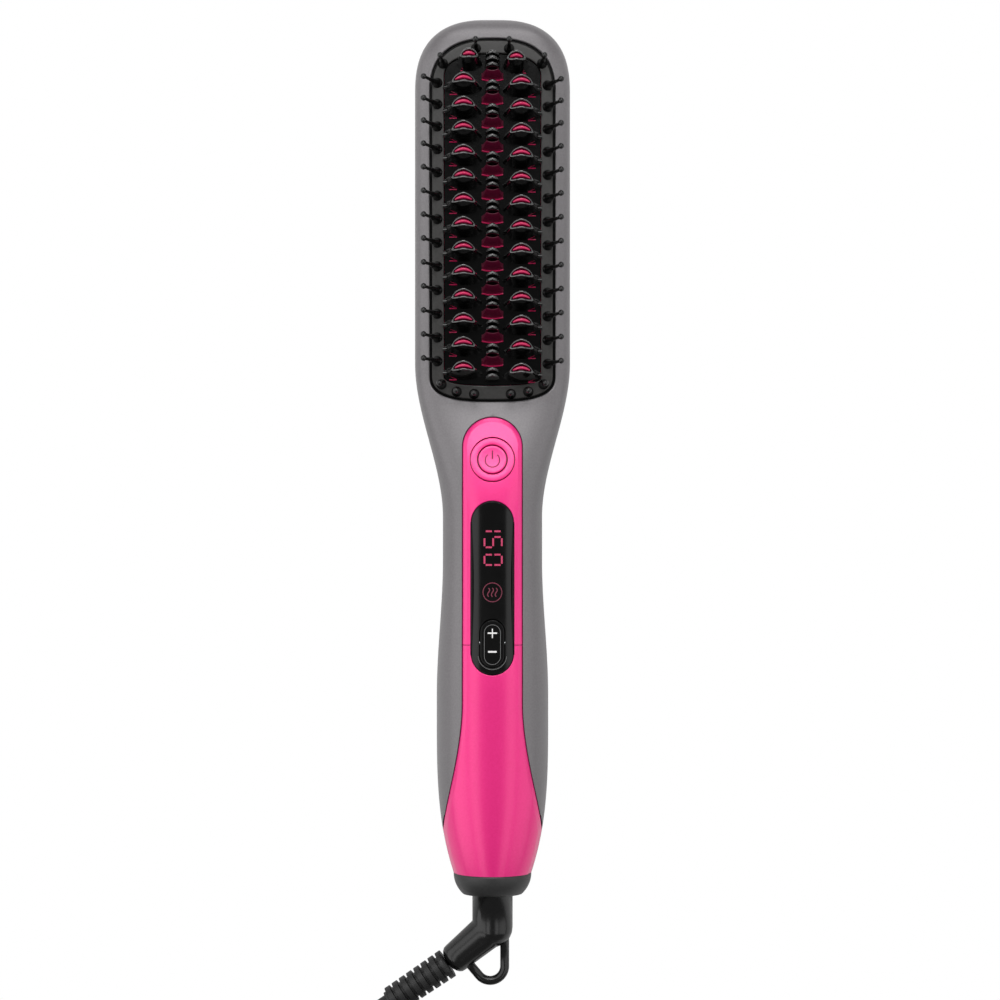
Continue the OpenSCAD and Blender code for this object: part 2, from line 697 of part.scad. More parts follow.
// Ring and button, square to the fascia where they sit
flange_h = 1.1;
ring_depth = 1.8;
button_foot = ring_depth + 0.05;
module button_ring() {
    color(PINK)
    ring_axis() rotate_extrude($fn = 72) polygon([
        [button_r + run_fit, -ring_depth], [ring_r, -ring_depth], [ring_r, 0], [ring_r - 0.5, 0.35],
        [button_r + 0.9, 0.35], [button_r + run_fit, -0.25]
    ]);
}
module power_button() {
    color(PINK)
    ring_axis() rotate_extrude($fn = 72) polygon([
        [0, -button_foot - flange_h], [button_r + 1, -button_foot - flange_h],
        [button_r + 1, -button_foot], [button_r, -button_foot], [button_r, 0.1],
        [button_r - 0.4, 0.4], [button_r - 1.2, 0.3], [0, 0.05]
    ]);
}

// Black display window with the ears that carry the rocker's pin
key_z = top_z(y_key) - 4;
ear_t = 1.2;
ear_x = key_w / 2 + key_gap + 0.2;
module display_window() {
    stations = span(y_window + 1, y_window_foot - 1, 12);
    color(BLACK)
    difference() {
        union() {
            intersection() {
                skin_sheet(stations, [for (y = stations) window_w / 2 + 1], 0.12, -panel_t, 12);
                translate([0, (y_window + y_window_foot) / 2, 0]) slot_block(window_len, window_w, 20, 45);
            }
            for (s = [-1, 1]) translate([s * (ear_x + ear_t / 2) - ear_t / 2, y_key, 0]) {
                translate([0, 0, key_z]) rotate([0, 90, 0]) cylinder(r = 2, h = ear_t, $fn = 32);
                translate([0, -2, key_z]) cube([ear_t, 4, skin_z(y_key, ear_x + ear_t) - 0.9 - key_z]);
            }
        }
        translate([0, y_key, 0]) slot_block(key_len + 2 * key_gap, key_w + 2 * key_gap, 20, 45);
        translate([-window_w, y_key, key_z]) rotate([0, 90, 0])
            cylinder(r = pin_r, h = 2 * window_w, $fn = 32);
    }
}

// Rocker key with a lug on the pin
module temp_rocker() {
    stations = span(y_key + key_len / 2 + 1, y_key - key_len / 2 - 1, 6);
    color(BLACK)
    difference() {
        union() {
            intersection() {
                skin_sheet(stations, [for (y = stations) key_w / 2 + 1], 0.3, -2.2, 8);
                translate([0, y_key, 0]) slot_block(key_len, key_w, 20, 45);
            }
            translate([-key_w / 2 + 0.6, y_key, key_z]) rotate([0, 90, 0])
                cylinder(r = 1.7, h = key_w - 1.2, $fn = 32);
            translate([-key_w / 2 + 0.6, y_key - 1.7, key_z]) cube([key_w - 1.2, 3.4, 2.4]);
        }
        translate([-key_w, y_key, key_z]) rotate([0, 90, 0])
            cylinder(r = pin_r + run_fit / 2, h = 2 * key_w, $fn = 32);
    }
}
module rocker_pin() {
    color(STEEL)
    translate([-ear_x - ear_t, y_key, key_z]) rotate([0, 90, 0])
        cylinder(r = pin_r, h = 2 * (ear_x + ear_t), $fn = 32);
}

// Heater stack
stack_foot = y_pad_foot + 14;
stack_len = pad_len - 28;
module heating_element() {
    color("#d8d4c8")
    for (s = [-1, 1]) translate([s * 3.6 - 3.4, stack_foot, element_z]) cube([6.8, stack_len, element_t]);
}
module clamp_plate() {
    color(STEEL)
    translate([-9, stack_foot + 3, clamp_z]) cube([18, stack_len - 6, clamp_t]);
}
chamber_y = y_pad_foot + 48;
chamber_len = 36;
tube_r = 1.5;
tube_z = 8;
module steam_chamber() {
    color("#c4c6c9")
    difference() {
        union() {
            translate([-14, chamber_y, chamber_z]) cube([28, chamber_len, clamp_z - chamber_z]);
            translate([0, chamber_y, tube_z]) rotate([90, 0, 0]) cylinder(r = tube_r + 1, h = 4, $fn = 32);
        }
        translate([0, chamber_y + 6, tube_z]) rotate([90, 0, 0]) cylinder(r = tube_r, h = 12, $fn = 32);
    }
}
module heat_shield() {
    color("#cfc6a8")
    translate([-15.5, y_pad_foot + 22, shield_z]) cube([31, pad_len - 40, shield_t]);
}
module thermal_fuse() {
    color("#8d8f93")
    translate([11.5, y_pad_foot + 72, plate_z - 1.8]) rotate([90, 0, 0])
        cylinder(r = 1.8, h = 12, $fn = 32);
}
module thermistor() {
    color("#b0562a")
    translate([-12, y_pad_foot + 66, plate_z - 1.2]) cylinder(r = 2, h = 1.2, $fn = 32);
}

// Water side: tank with its filler neck, pump, tubes
tank_y = y_end + 14 + tank_len;
tank_z = 6;
filler_y = tank_y - tank_len / 2;
filler_neck_r = plug_stem_r + 1.6;
filler_head_r = filler_neck_r + 0.4;
filler_seat_z = 1.9;
pump_r = 5.5;
pump_z = 10;
pump_len = 20;
pump_y = tank_y + 4 + pump_len;
module water_tank() {
    color("#dfe6ea")
    difference() {
        union() {
            translate([0, tank_y, tank_z + tank_h / 2]) rotate([90, 0, 0]) linear_extrude(tank_len)
                offset(4, $fn = 24) square([tank_w - 8, tank_h - 8], center = true);
            translate([0, filler_y, filler_seat_z + 0.05])
                cylinder(r = filler_neck_r, h = tank_z - filler_seat_z, $fn = 64);
        }
        translate([0, tank_y - 1.5, tank_z + tank_h / 2]) rotate([90, 0, 0]) linear_extrude(tank_len - 3)
            offset(2.5, $fn = 24) square([tank_w - 8, tank_h - 8], center = true);
        translate([0, filler_y, 0]) cylinder(r = plug_stem_r + run_fit, h = tank_z + 4, $fn = 64);
        translate([0, tank_y + 1, pump_z]) rotate([90, 0, 0]) cylinder(r = tube_r, h = 3, $fn = 32);
    }
}
module filler_plug() {
    color("#2a2a2d")
    translate([0, filler_y, 0]) rotate_extrude($fn = 64) polygon([
        [0, 0.6], [filler_head_r - 0.4, 0.6], [filler_head_r, 0.9], [filler_head_r, filler_seat_z],
        [plug_stem_r, filler_seat_z], [plug_stem_r, tank_z + 0.6], [plug_stem_r - 0.8, tank_z + 1.6],
        [0, tank_z + 1.6]
    ]);
}
module micro_pump() {
    color("#4a4d52")
    translate([0, pump_y, pump_z]) rotate([90, 0, 0]) cylinder(r = pump_r, h = pump_len, $fn = 48);
}
module water_tube() {
    color("#e8eef2")
    translate([0, pump_y - pump_len, pump_z]) rotate([90, 0, 0])
        cylinder(r = tube_r, h = pump_y - pump_len - tank_y + 1.5, $fn = 32);
}
module steam_tube() {
    color("#e8eef2")
    translate([0, chamber_y - 0.1, tube_z]) rotate([90, 0, 0])
        cylinder(r = tube_r, h = chamber_y - 0.1 - pump_y, $fn = 32);
}

// Electronics
module main_board() {
    color(BOARD)
    translate([-board_half, board_foot, board_z]) cube([2 * board_half, board_top - board_foot, board_t]);
}
module power_parts() {
    top = board_z + board_t;
    color("#3b3f47") translate([-8, board_top - 26, top]) cube([12, 15, control_z - top - 0.6]);
    color("#2b5f9e") translate([-7, board_top - 44, top]) cube([14, 10, 5]);
    color("#35363a")
    translate([-3, board_foot + 9, top + 3.5]) rotate([90, 0, 0]) cylinder(r = 3.5, h = 8, $fn = 32);
}
control_top = y_fascia - 8;
control_foot = y_window_foot;
module control_board() {
    color(BOARD)
    translate([-post_x - 1.2, control_foot, control_z])
        cube([2 * post_x + 2.4, control_top - control_foot, board_t]);
}
module display_module() {
    color("#2c2c30")
    translate([-5.5, y_window - 38, control_z + board_t])
        cube([11, 32, skin_z(y_window - 6, 5.5) - panel_t - 0.5 - control_z - board_t]);
}
module tact_switches() {
    top = control_z + board_t;
    stem_top = top_z(y_button) - button_foot - flange_h - button_travel - 0.4;
    color("#c9ccd1") {
        translate([-3, y_button - 3.4, top]) cube([6, 6, 1.6]);
        translate([0, y_button - 0.4, top])
            cylinder(r = 1.5, h = stem_top - top, $fn = 32);
        for (s = [-1, 1]) translate([0, y_key + s * 5, top]) {
            translate([-2.5, -2, 0]) cube([5, 4, 3]);
            cylinder(r = 1.2, h = skin_z(y_key + s * 5, 1.2) - 3 - top, $fn = 32);
        }
    }
}

// Slip rings on the swivel's stub and their contacts
stub_r = 4.2;
ring_out = 5;
carrier_y = y_end + spigot_len;
carrier_len = 7;
stub_len = cap_len - cap_floor - flange_t + spigot_len + carrier_len;
ring_ys = [carrier_y + 1.6, carrier_y + 4.6];
module contact_carrier() {
    color("#d9d9d9")
    difference() {
        translate([0, carrier_y + carrier_len, axis_z]) rotate([90, 0, 0])
            cylinder(r = spigot_r, h = carrier_len, $fn = 64);
        translate([0, carrier_y + carrier_len + 1, axis_z]) rotate([90, 0, 0])
            cylinder(r = ring_out + 0.5, h = carrier_len + 2, $fn = 64);
        translate([0, carrier_y - 1, axis_z - 1.5]) cube([spigot_r - 1.4, carrier_len + 2, 3]);
    }
}
module slip_contacts() {
    color(BRASS)
    for (y = ring_ys) translate([ring_out + run_fit, y - 0.6, axis_z - 1.5])
        cube([spigot_r - 1.4 - ring_out - run_fit, 1.6, 3]);
}
module slip_rings() {
    color(BRASS)
    for (y = ring_ys) translate([0, y + 1, axis_z]) rotate([90, 0, 0]) difference() {
        cylinder(r = ring_out, h = 1.6, $fn = 48);
        translate([0, 0, -1]) cylinder(r = stub_r, h = 4, $fn = 48);
    }
}

// Round tube along a list of points
function dir(a) = a / norm(a);
function tangent(p, i) = dir(p[min(i + 1, len(p) - 1)] - p[max(i - 1, 0)]);
module tube(p, r, sides, up = [0, 0, 1]) {
    loft([for (i = [0:len(p) - 1])
        let (t = tangent(p, i), u = dir(cross(t, up)), v = cross(u, t))
        [for (k = [0:sides - 1]) p[i] + r * cos(360 * k / sides) * u + r * sin(360 * k / sides) * v]]);
}
// Smooth curve through hand-set points, n steps to a span
function curve_point(a, b, c, d, t) =
    0.5 * ((2 * b) + (c - a) * t + (2 * a - 5 * b + 4 * c - d) * t * t
        + (3 * b - a - 3 * c + d) * t * t * t);
function smooth(p, n) = concat(
    [for (i = [0:len(p) - 2], j = [0:n - 1])
        curve_point(p[max(i - 1, 0)], p[i], p[i + 1], p[min(i + 2, len(p) - 1)], j / n)],
    [p[len(p) - 1]]
);

module mains_leads() {
    colours = ["#7a4a2a", "#2f5fa8"];
    for (i = [0, 1]) color(colours[i])
        tube([
            [spigot_r - 2.4, carrier_y + carrier_len + 0.02, axis_z + 1.5 - 3 * i],
            [spigot_r - 2.4, carrier_y + carrier_len + 1.2, axis_z + 1.5 - 3 * i],
            [tank_w / 2 + 1.6, carrier_y + carrier_len + 2.8, axis_z + 1.5 - 3 * i],
            [tank_w / 2 + 1.6, tank_y - tank_len + 3, axis_z + 1.4 - 2.8 * i],
            [tank_w / 2 + 1.6, tank_y, axis_z + 1.4 - 2.8 * i],
            [8.6 - 2.4 * i, board_foot + 3, board_z + board_t + 2],
            [8.6 - 2.4 * i, board_foot + 7, board_z + board_t + 0.8]
        ], 0.8, 8);
}
module heater_leads() {
    for (s = [-1, 1]) color("#d8d8d8")
        tube([
            [s * 4, board_top - 3, board_z + board_t + 0.8],
            [s * 4, board_top + 4, board_z + board_t + 0.8],
            [s * 4, stack_foot - 8, element_z + 1.6],
            [s * 4, stack_foot, element_z + 1.6]
        ], 0.8, 8);
}

module screw(z_head, z_tip) {
    rotate_extrude($fn = 32) polygon([
        [0, z_head - 1.8], [screw_head_r - 0.4, z_head - 1.8], [screw_head_r, z_head - 1.3],
        [screw_head_r, z_head], [screw_r, z_head], [screw_r, z_tip - 0.8], [0, z_tip]
    ]);
}
module case_screws() {
    color(STEEL)
    for (p = head_screws) translate([p[0], p[1], 0]) screw(screw_head_z, head_boss_z + 4);
}
module heater_screws() {
    color(STEEL)
    for (p = heater_screw_places) translate([p[0], p[1], 0]) screw(plate_z, frame_z + 1.2);
}

// Swivel: stub and flange inside the cap, neck, bent leg and hang loop outside
y_bend = y_cap - neck_len;
leg_end = [-12.9, y_bend - 10.7, axis_z];
relief_dir = dir([-19, -12.8, 0]);
// D-shaped loop from the neck round to the end of the leg
loop_x = 4.2;
loop_r = 5;
loop_turn = 140;
module hang_loop() {
    foot = y_cap - loop_reach + loop_bar / 2 + loop_r;
    translate([loop_x, y_bend, axis_z]) rotate([90, 0, 0])
        cylinder(d = loop_bar, h = y_bend - foot, $fn = 32);
    translate([loop_x - loop_r, foot, axis_z]) {
        rotate([0, 0, -loop_turn]) rotate_extrude(angle = loop_turn, $fn = 48)
            translate([loop_r, 0]) circle(d = loop_bar, $fn = 32);
        rotate([0, 0, -loop_turn]) translate([loop_r, 0, 0]) rotate([90, 0, 0])
            cylinder(d = loop_bar, h = 5, $fn = 32);
    }
}
module swivel_elbow() {
    leg = leg_end - [0, y_bend, axis_z];
    flange_y = y_cap + cap_floor + 0.15;
    top = flange_y + flange_t + stub_len - 1 - y_bend;
    neck_r = neck_d / 2;
    color(BLACK)
    union() {
        translate([0, y_bend, axis_z]) rotate([-90, 0, 0]) rotate_extrude($fn = 64) polygon(concat(
            [for (a = span(-90, 0, 6)) [neck_r * cos(a), neck_r * sin(a)]],
            [[neck_r, flange_y - y_bend], [flange_r, flange_y - y_bend]],
            [[flange_r, flange_y + flange_t - y_bend], [stub_r, flange_y + flange_t - y_bend]],
            [[stub_r, top], [0, top]]
        ));
        translate([0, y_bend, axis_z]) rotate([90, 0, atan2(leg[0], -leg[1])])
            rotate_extrude($fn = 64) polygon(concat(
                [[0, 0], [neck_r - 0.6, 0]],
                [for (a = span(0, 90, 6)) [leg_d / 2 * cos(a), norm(leg) + leg_d / 2 * 0.6 * sin(a)]]
            ));
        hang_loop();
    }
}

relief_out = leg_end + leg_d / 2 * 0.6 * relief_dir;
relief_tip = relief_out + relief_len * relief_dir;
module strain_relief() {
    pitch = relief_len / relief_ribs;
    core = cord_d / 2 + 0.8;
    color(BLACK)
    translate(relief_out) rotate([90, 0, atan2(relief_dir[0], -relief_dir[1])])
        rotate_extrude($fn = 48) polygon(concat(
            [[0, 0]],
            [for (i = [0:relief_ribs - 1])
                let (r = leg_d / 2 - 0.05 - 0.35 * i / relief_ribs, z = i * pitch)
                each [[r, z], [r, z + 0.62 * pitch], [core, z + 0.68 * pitch], [core, z + 0.96 * pitch]]],
            [[core, relief_len], [0, relief_len]]
        ));
}

// Cord: its coil lies on its tie past the cap end, in four layers that spiral in and out by turns
coil_out = coil_r + turn_pitch * layer_turns;
coil_turns = 4 * layer_turns;
top_angle = 122.4;
strap_fit = 0.05;
coil_mid = let (p = relief_tip + lead_run * relief_dir - coil_out * [cos(top_angle), sin(top_angle), 0])
    [p[0], p[1], tie_t + strap_fit];
function wave(u) = abs(((u / layer_turns) % 2) - 1);
function layer_of(u) = let (k = round(u / layer_turns), f = (u - k * layer_turns) / 0.5)
    (k == 0 || k == 4) ? (k == 0 ? 0 : 3) : k - 0.5 + max(-0.5, min(0.5, f));
function coil_point(u) =
    let (r = coil_r + (coil_out - coil_r) * wave(u), a = top_angle + 360 * (coil_turns - u))
    coil_mid + [r * cos(a), r * sin(a), cord_d / 2 + turn_pitch * layer_of(u)];
coil_rings = 24;
coil_steps = round(coil_rings * coil_turns);
coil_line = [for (i = [0:coil_steps]) coil_point(coil_turns * i / coil_steps)];
coil_top = coil_line[coil_steps];
coil_foot = coil_line[0];
foot_dir = dir(coil_foot - coil_point(0.001));

// From the coil's top down to the strain relief, and where the coil's solid ends on it
function lead_point(t) = let (p = mix(coil_top, relief_tip, t))
    [p[0], p[1], mix(coil_top[2], relief_tip[2], t * t * (3 - 2 * t))];
finish = lead_point(cord_d / lead_run);
finish_dir = dir(finish - coil_top);
away = coil_foot + cord_d * foot_dir;
coil_path = concat([away], coil_line, [finish]);

// Least distance between stretches of the coil that are half a turn or more apart, less the cord
coil_gap = min([for (i = [0:len(coil_line) - 1], j = [i + coil_rings / 2:1:len(coil_line) - 1])
    norm(coil_line[i] - coil_line[j])]) - cord_d;
echo(coil_gap = coil_gap);

module cord_coil() {
    color(BLACK) tube(coil_path, cord_d / 2, 6);
}

plug_w = 26;
plug_h = 14;

// Free stretches: strain relief to coil, and from the coil round and up to the plug
tail_start = away + cord_d * foot_dir;
tail_turn = atan2(foot_dir[1], foot_dir[0]);
function tail_point(t) =
    let (a = mix(tail_turn, 0, t))
    tail_start + [
        tail_r * (sin(a) - sin(tail_turn)), tail_r * (cos(tail_turn) - cos(a)),
        (plug_h / 2 - tail_start[2]) * t * t * (3 - 2 * t)
    ];
plug_mouth = tail_point(1) + [2.5, 0, 0];
module mains_cord() {
    color(BLACK) {
        tube(concat(
            [relief_tip, relief_tip + 2 * relief_dir],
            [for (t = [0.82, 0.7, 0.58, 0.46, 0.34]) lead_point(t)],
            [finish + 1.5 * finish_dir, finish]
        ), cord_d / 2, 8);
        tube(concat([away], [for (t = span(0, 1, 6)) tail_point(t)], [plug_mouth]), cord_d / 2, 8);
    }
}

// Tie round the coil's bundle
module cord_tie() {
    mid_r = (coil_r + coil_out) / 2;
    half = (coil_out - coil_r) / 2 + cord_d / 2 + 0.3;
    h = cord_d + 3 * turn_pitch + 2 * strap_fit;
    color("#101012")
    translate([coil_mid[0], coil_mid[1], tie_t + h / 2]) rotate([0, 0, -35]) translate([mid_r, 2, 0])
        rotate([90, 0, 0]) linear_extrude(4) difference() {
            square([2 * (half + tie_t), h + 2 * tie_t], center = true);
            square([2 * half, h], center = true);
        }
}

// Flat two-pin plug that lies on its broad side, with its pins to the right
module at_plug() {
    translate([plug_mouth[0], plug_mouth[1], plug_h / 2]) rotate([0, 0, -90]) children();
}
module plug_body() {
    color(BLACK)
    at_plug()
        loft([for (s = [[0, 5, 5], [0.16, 5.6, 5.6], [0.3, 8, plug_h / 2 - 0.4],
            [0.62, plug_w / 2 - 0.6, plug_h / 2], [0.94, plug_w / 2, plug_h / 2],
            [1, plug_w / 2 - 0.8, plug_h / 2 - 0.8]])
            [for (a = span(360, 15, 23)) [
                s[1] * sign(cos(a)) * pow(abs(cos(a)), 2 / 3.4),
                s[0] * plug_len,
                s[2] * sign(sin(a)) * pow(abs(sin(a)), 2 / 3.4)
            ]]]);
}
module plug_pins() {
    color(STEEL)
    at_plug()
        for (s = [-1, 1]) translate([s * plug_pin_gap / 2, plug_len, 0]) rotate([-90, 0, 0]) {
            cylinder(d = plug_pin_d, h = plug_pin_len - plug_pin_d / 2, $fn = 48);
            translate([0, 0, plug_pin_len - plug_pin_d / 2]) sphere(d = plug_pin_d, $fn = 48);
        }
}

front_housing();
rear_housing();
end_cap();
control_fascia();
handle_cover();
bristle_frame();
edge_bristles();
heater_plate();
fin_hoods();
middle_teeth();
button_ring();
power_button();
display_window();
temp_rocker();
rocker_pin();
heating_element();
clamp_plate();
steam_chamber();
heat_shield();
thermal_fuse();
thermistor();
steam_tube();
micro_pump();
water_tube();
water_tank();
filler_plug();
main_board();
power_parts();
control_board();
display_module();
tact_switches();
contact_carrier();
slip_contacts();
slip_rings();
mains_leads();
heater_leads();
case_screws();
heater_screws();
swivel_elbow();
strain_relief();
mains_cord();
cord_coil();
cord_tie();
plug_body();
plug_pins();
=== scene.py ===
# %% [markdown]
# # A steam hair straightener brush, dressed for its portrait
# The imported CAD model gives every solid, joint and size. This notebook gives the brush its looks. The
# moulded shells and panels are curved sheets with crisp rounded edges, so they are worked out here again
# as smooth surfaces from the same sizes as the CAD, in millimetres, and each one stands for its CAD node.
# The fixed frame is loaded first. No piece may reach past it.

# %% Load the frame
import json
import math

import bmesh
import bpy
import numpy as np
from mathutils import Matrix


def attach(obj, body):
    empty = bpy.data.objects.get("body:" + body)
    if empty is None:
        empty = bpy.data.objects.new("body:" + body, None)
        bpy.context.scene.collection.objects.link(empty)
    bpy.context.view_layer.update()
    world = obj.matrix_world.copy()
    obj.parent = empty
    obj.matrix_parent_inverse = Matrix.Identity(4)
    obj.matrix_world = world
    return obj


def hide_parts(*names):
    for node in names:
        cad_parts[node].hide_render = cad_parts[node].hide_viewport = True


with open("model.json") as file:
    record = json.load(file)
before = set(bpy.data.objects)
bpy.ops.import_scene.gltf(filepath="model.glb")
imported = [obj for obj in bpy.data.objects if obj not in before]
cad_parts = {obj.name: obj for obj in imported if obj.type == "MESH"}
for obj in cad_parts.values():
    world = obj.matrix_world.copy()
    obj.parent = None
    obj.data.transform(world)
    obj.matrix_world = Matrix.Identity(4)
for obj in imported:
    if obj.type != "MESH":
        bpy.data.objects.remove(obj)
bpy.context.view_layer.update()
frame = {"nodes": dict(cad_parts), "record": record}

# %% [markdown]
# A surface here is a grid of points: rows along the brush, columns across it. One helper lists the faces
# of such a grid, and another joins several grids into one mesh, closes their common edges and makes the
# object. Grids keep the highlights smooth, because the points lie exactly on the formula.

# %% Grids and pieces
MM = 0.001


def grid_faces(rows, columns, closed_rows=False, closed_columns=False):
    """Four-cornered faces between neighbouring rows and columns, wrapping round where closed."""
    i = np.arange(rows if closed_rows else rows - 1)[:, None]
    j = np.arange(columns if closed_columns else columns - 1)[None, :]
    up, across = (i + 1) % rows, (j + 1) % columns
    corners = [i * columns + j, i * columns + across, up * columns + across, up * columns + j]
    return np.stack(np.broadcast_arrays(*corners), -1).reshape(-1, 4)


def make_piece(name, sheets, body, sharp_deg=40, closed=False):
    """One object out of sheets, each (points of shape rows x columns x 3 in mm, flipped, wraps)."""
    points, faces, start = [], [], 0
    for grid, flipped, wraps in sheets:
        rows, columns = grid.shape[:2]
        quads = grid_faces(rows, columns, *wraps)
        faces.append((quads[:, ::-1] if flipped else quads) + start)
        points.append(grid.reshape(-1, 3))
        start += rows * columns
    mesh = bpy.data.meshes.new(name)
    mesh.from_pydata((np.concatenate(points) * MM).tolist(), [], np.concatenate(faces).tolist())
    work = bmesh.new()
    work.from_mesh(mesh)
    bmesh.ops.remove_doubles(work, verts=work.verts, dist=2e-6)
    bmesh.ops.dissolve_degenerate(work, edges=work.edges, dist=1e-7)
    if closed:
        bmesh.ops.recalc_face_normals(work, faces=work.faces)
    work.to_mesh(mesh)
    work.free()
    mesh.shade_smooth()
    mesh.set_sharp_from_angle(angle=math.radians(sharp_deg))
    piece = bpy.data.objects.new(name, mesh)
    bpy.context.collection.objects.link(piece)
    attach(piece, body)
    return piece


OPEN, RING_COLUMNS = (False, False), (False, True)

# %% [markdown]
# ## Camera
# The photograph looks straight down on the brush from about a metre, with the head at the top. The lens
# and the place follow from the photograph's scale of 2.9 pixels to the millimetre.

# %% Camera
camera = bpy.data.objects.new("camera", bpy.data.cameras.new("camera"))
bpy.context.collection.objects.link(camera)
camera.location = (0.002586, 0.0006, 1.017)
camera.data.sensor_width = 36
camera.data.lens = 36 * 1.0 / 0.3448
camera.data.clip_start = 0.01
bpy.context.scene.camera = camera
print("lens, mm:", round(camera.data.lens, 1))

# %% [markdown]
# ## The cord
# A mains flex is a fixed length of something springy. About 1.8 m is usual on such a brush, and the
# photograph shows only its first centimetre, so the rest is wound into a flat coil in a tie, just beyond
# the lower edge of the picture. The route is the one that the CAD solid takes: a gentle rise from the
# strain relief, four layers of turns that spiral in and out by turns, and a quarter turn to the plug.

# %% Route of the cord
cord_d = 6.0
coil_r, turn_pitch, layer_turns, lead_run, tail_r = 24.0, 6.65, 2.05, 30.0, 36.0
coil_turns = 4 * layer_turns
coil_out = coil_r + turn_pitch * layer_turns
top_angle = math.radians(122.4)
relief_dir = np.array([-19.0, -12.8, 0.0]) / math.hypot(19.0, 12.8)
relief_out = np.array([-12.9, -157.3, 17.0]) + 10.6 / 2 * 0.6 * relief_dir
relief_len = 24.0
relief_tip = relief_out + relief_len * relief_dir
coil_entry = coil_out * np.array([math.cos(top_angle), math.sin(top_angle), 0])
coil_mid = relief_tip + lead_run * relief_dir - coil_entry
coil_mid[2] = 0.55


def coil_points(u):
    """Point of the coil after u turns: the radius swings between the inner and outer turn, and the
    height steps up by one cord in a short ramp each time it does."""
    wave = np.abs(((u / layer_turns) % 2) - 1)
    k = np.floor(u / layer_turns + 0.5)
    ramp = np.clip((u - k * layer_turns) / 0.5, -0.5, 0.5)
    layer = np.where(k == 0, 0, np.where(k == 4, 3, k - 0.5 + ramp))
    r = coil_r + (coil_out - coil_r) * wave
    a = top_angle + 2 * math.pi * (coil_turns - u)
    return coil_mid + np.stack([r * np.cos(a), r * np.sin(a), cord_d / 2 + turn_pitch * layer], -1)


coil = coil_points(np.linspace(coil_turns, 0, int(36 * coil_turns) + 1))
t = np.linspace(0, 1, 16)[:-1, None]
lead_in = relief_tip + (coil[0] - relief_tip) * t
lead_in[:, 2:] = relief_tip[2] + (coil[0, 2] - relief_tip[2]) * t * t * (3 - 2 * t)
foot_dir = coil_points(0.0) - coil_points(0.001)
foot_dir /= np.linalg.norm(foot_dir)
tail_start = coil[-1] + 2 * cord_d * foot_dir
turn = math.atan2(foot_dir[1], foot_dir[0])
t = np.linspace(0, 1, 13)
a = turn * (1 - t)
tail = tail_start + np.stack([tail_r * (np.sin(a) - math.sin(turn)), tail_r * (math.cos(turn) - np.cos(a)),
    (7.0 - tail_start[2]) * t * t * (3 - 2 * t)], -1)
plug_mouth = tail[-1] + [2.5, 0, 0]
route = np.vstack([lead_in, coil, [coil[-1] + cord_d * foot_dir], tail, [plug_mouth]])


def tube(path, radius, sides):
    """Circle of the given radius carried along a path, kept level by the world's up direction."""
    t = np.gradient(path, axis=0)
    t /= np.linalg.norm(t, axis=1)[:, None]
    u = np.cross(t, [0, 0, 1.0])
    u /= np.linalg.norm(u, axis=1)[:, None]
    v = np.cross(u, t)
    a = np.linspace(0, 2 * math.pi, sides, endpoint=False)[None, :, None]
    r = np.broadcast_to(np.asarray(radius, float), len(path))[:, None, None]
    return path[:, None, :] + r * (np.cos(a) * u[:, None, :] + np.sin(a) * v[:, None, :])


def capped(grid):
    """A tube or bowl of rings with both ends closed by a last ring shrunk to its middle."""
    ends = [np.repeat(grid[k].mean(0)[None], grid.shape[1], 0)[None] for k in (0, -1)]
    return np.concatenate([ends[0], grid, ends[1]])


flex = make_piece("mains_flex", [(capped(tube(route, cord_d / 2, 16)), False, RING_COLUMNS)],
    "cord_swivel", closed=True)
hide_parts("mains_cord", "cord_coil")

# %% [markdown]
# ## The body's sections
# Every section across the body is a superellipse: an ellipse whose power, above 2, makes it squarer. The
# half width, the two heights and the power change along the brush with smooth steps, as in the CAD. The
# angle runs from the parting line on the right, 0, over the top, 90, to the left, 180.

# %% Sizes and sections
y_tip, y_arc, y_head, y_waist, y_swell = 166.6, 140.6, 47.7, -5.3, -20.3
y_grip, y_taper, y_end = -66.2, -75.2, -127.7
tip_len, taper_len = y_tip - y_arc, y_taper - y_end
y_pad, y_pad_foot, y_fascia, y_seam, y_flare, y_wing = 159.2, 34.2, 28.9, -48.7, -69.2, -113.2
y_button, y_window, y_window_foot, y_key = 14.4, 0.2, -58.8, -48.2
head_w, waist_w, grip_w, end_d, axis_z, head_part_z = 53.6, 34.2, 38.4, 26.8, 17.0, 11.0
pad_half, pad_z, panel_half_w, seam = 21.6, 21.4, 10.2, 0.15
pad_top_reach, pad_foot_reach = 19.0, 9.5
window_len, window_w, flare_len = 59.0, 14.3, 44.0


def ease(a, b, y):
    """Smooth step from 0 at a to 1 at b."""
    t = np.clip((y - a) / (b - a), 0, 1)
    return t * t * (3 - 2 * t)


def mix(a, b, t):
    """The value a share t of the way from a to b."""
    return a + (b - a) * t


def body_section(y, side=1):
    """Half width, parting height, rise over (or under) it, and power of the section at y."""
    y = np.asarray(y, float)
    over = np.clip((y - y_arc) / tip_len, 0, 1)
    tip_w, tip_h = (1 - over**2.6) ** (1 / 2.6), (1 - over**3.4) ** (1 / 3.4)
    end = np.clip((y_taper - y) / taper_len, 0, 1) ** 3
    shoulder, swell = ease(y_waist, y_head, y), ease(y_swell, y_grip, y)
    upper = y > y_waist
    half = np.where(upper, mix(waist_w, head_w, shoulder), mix(mix(waist_w, grip_w, swell), end_d, end)) / 2
    part = mix(axis_z, head_part_z, shoulder)
    waist_z, head_z, grip_z, head_power = (30.0, 23.0, 34.0, 4.5) if side > 0 else (3.2, -0.25, -0.25, 3.2)
    handle_z = mix(mix(waist_z, grip_z, swell), axis_z + side * end_d / 2, end)
    far = np.where(upper, mix(waist_z, head_z, shoulder), handle_z)
    power = mix(mix(2.3, head_power, shoulder), 2, end)
    return half * tip_w, part, (far - part) * tip_h, power


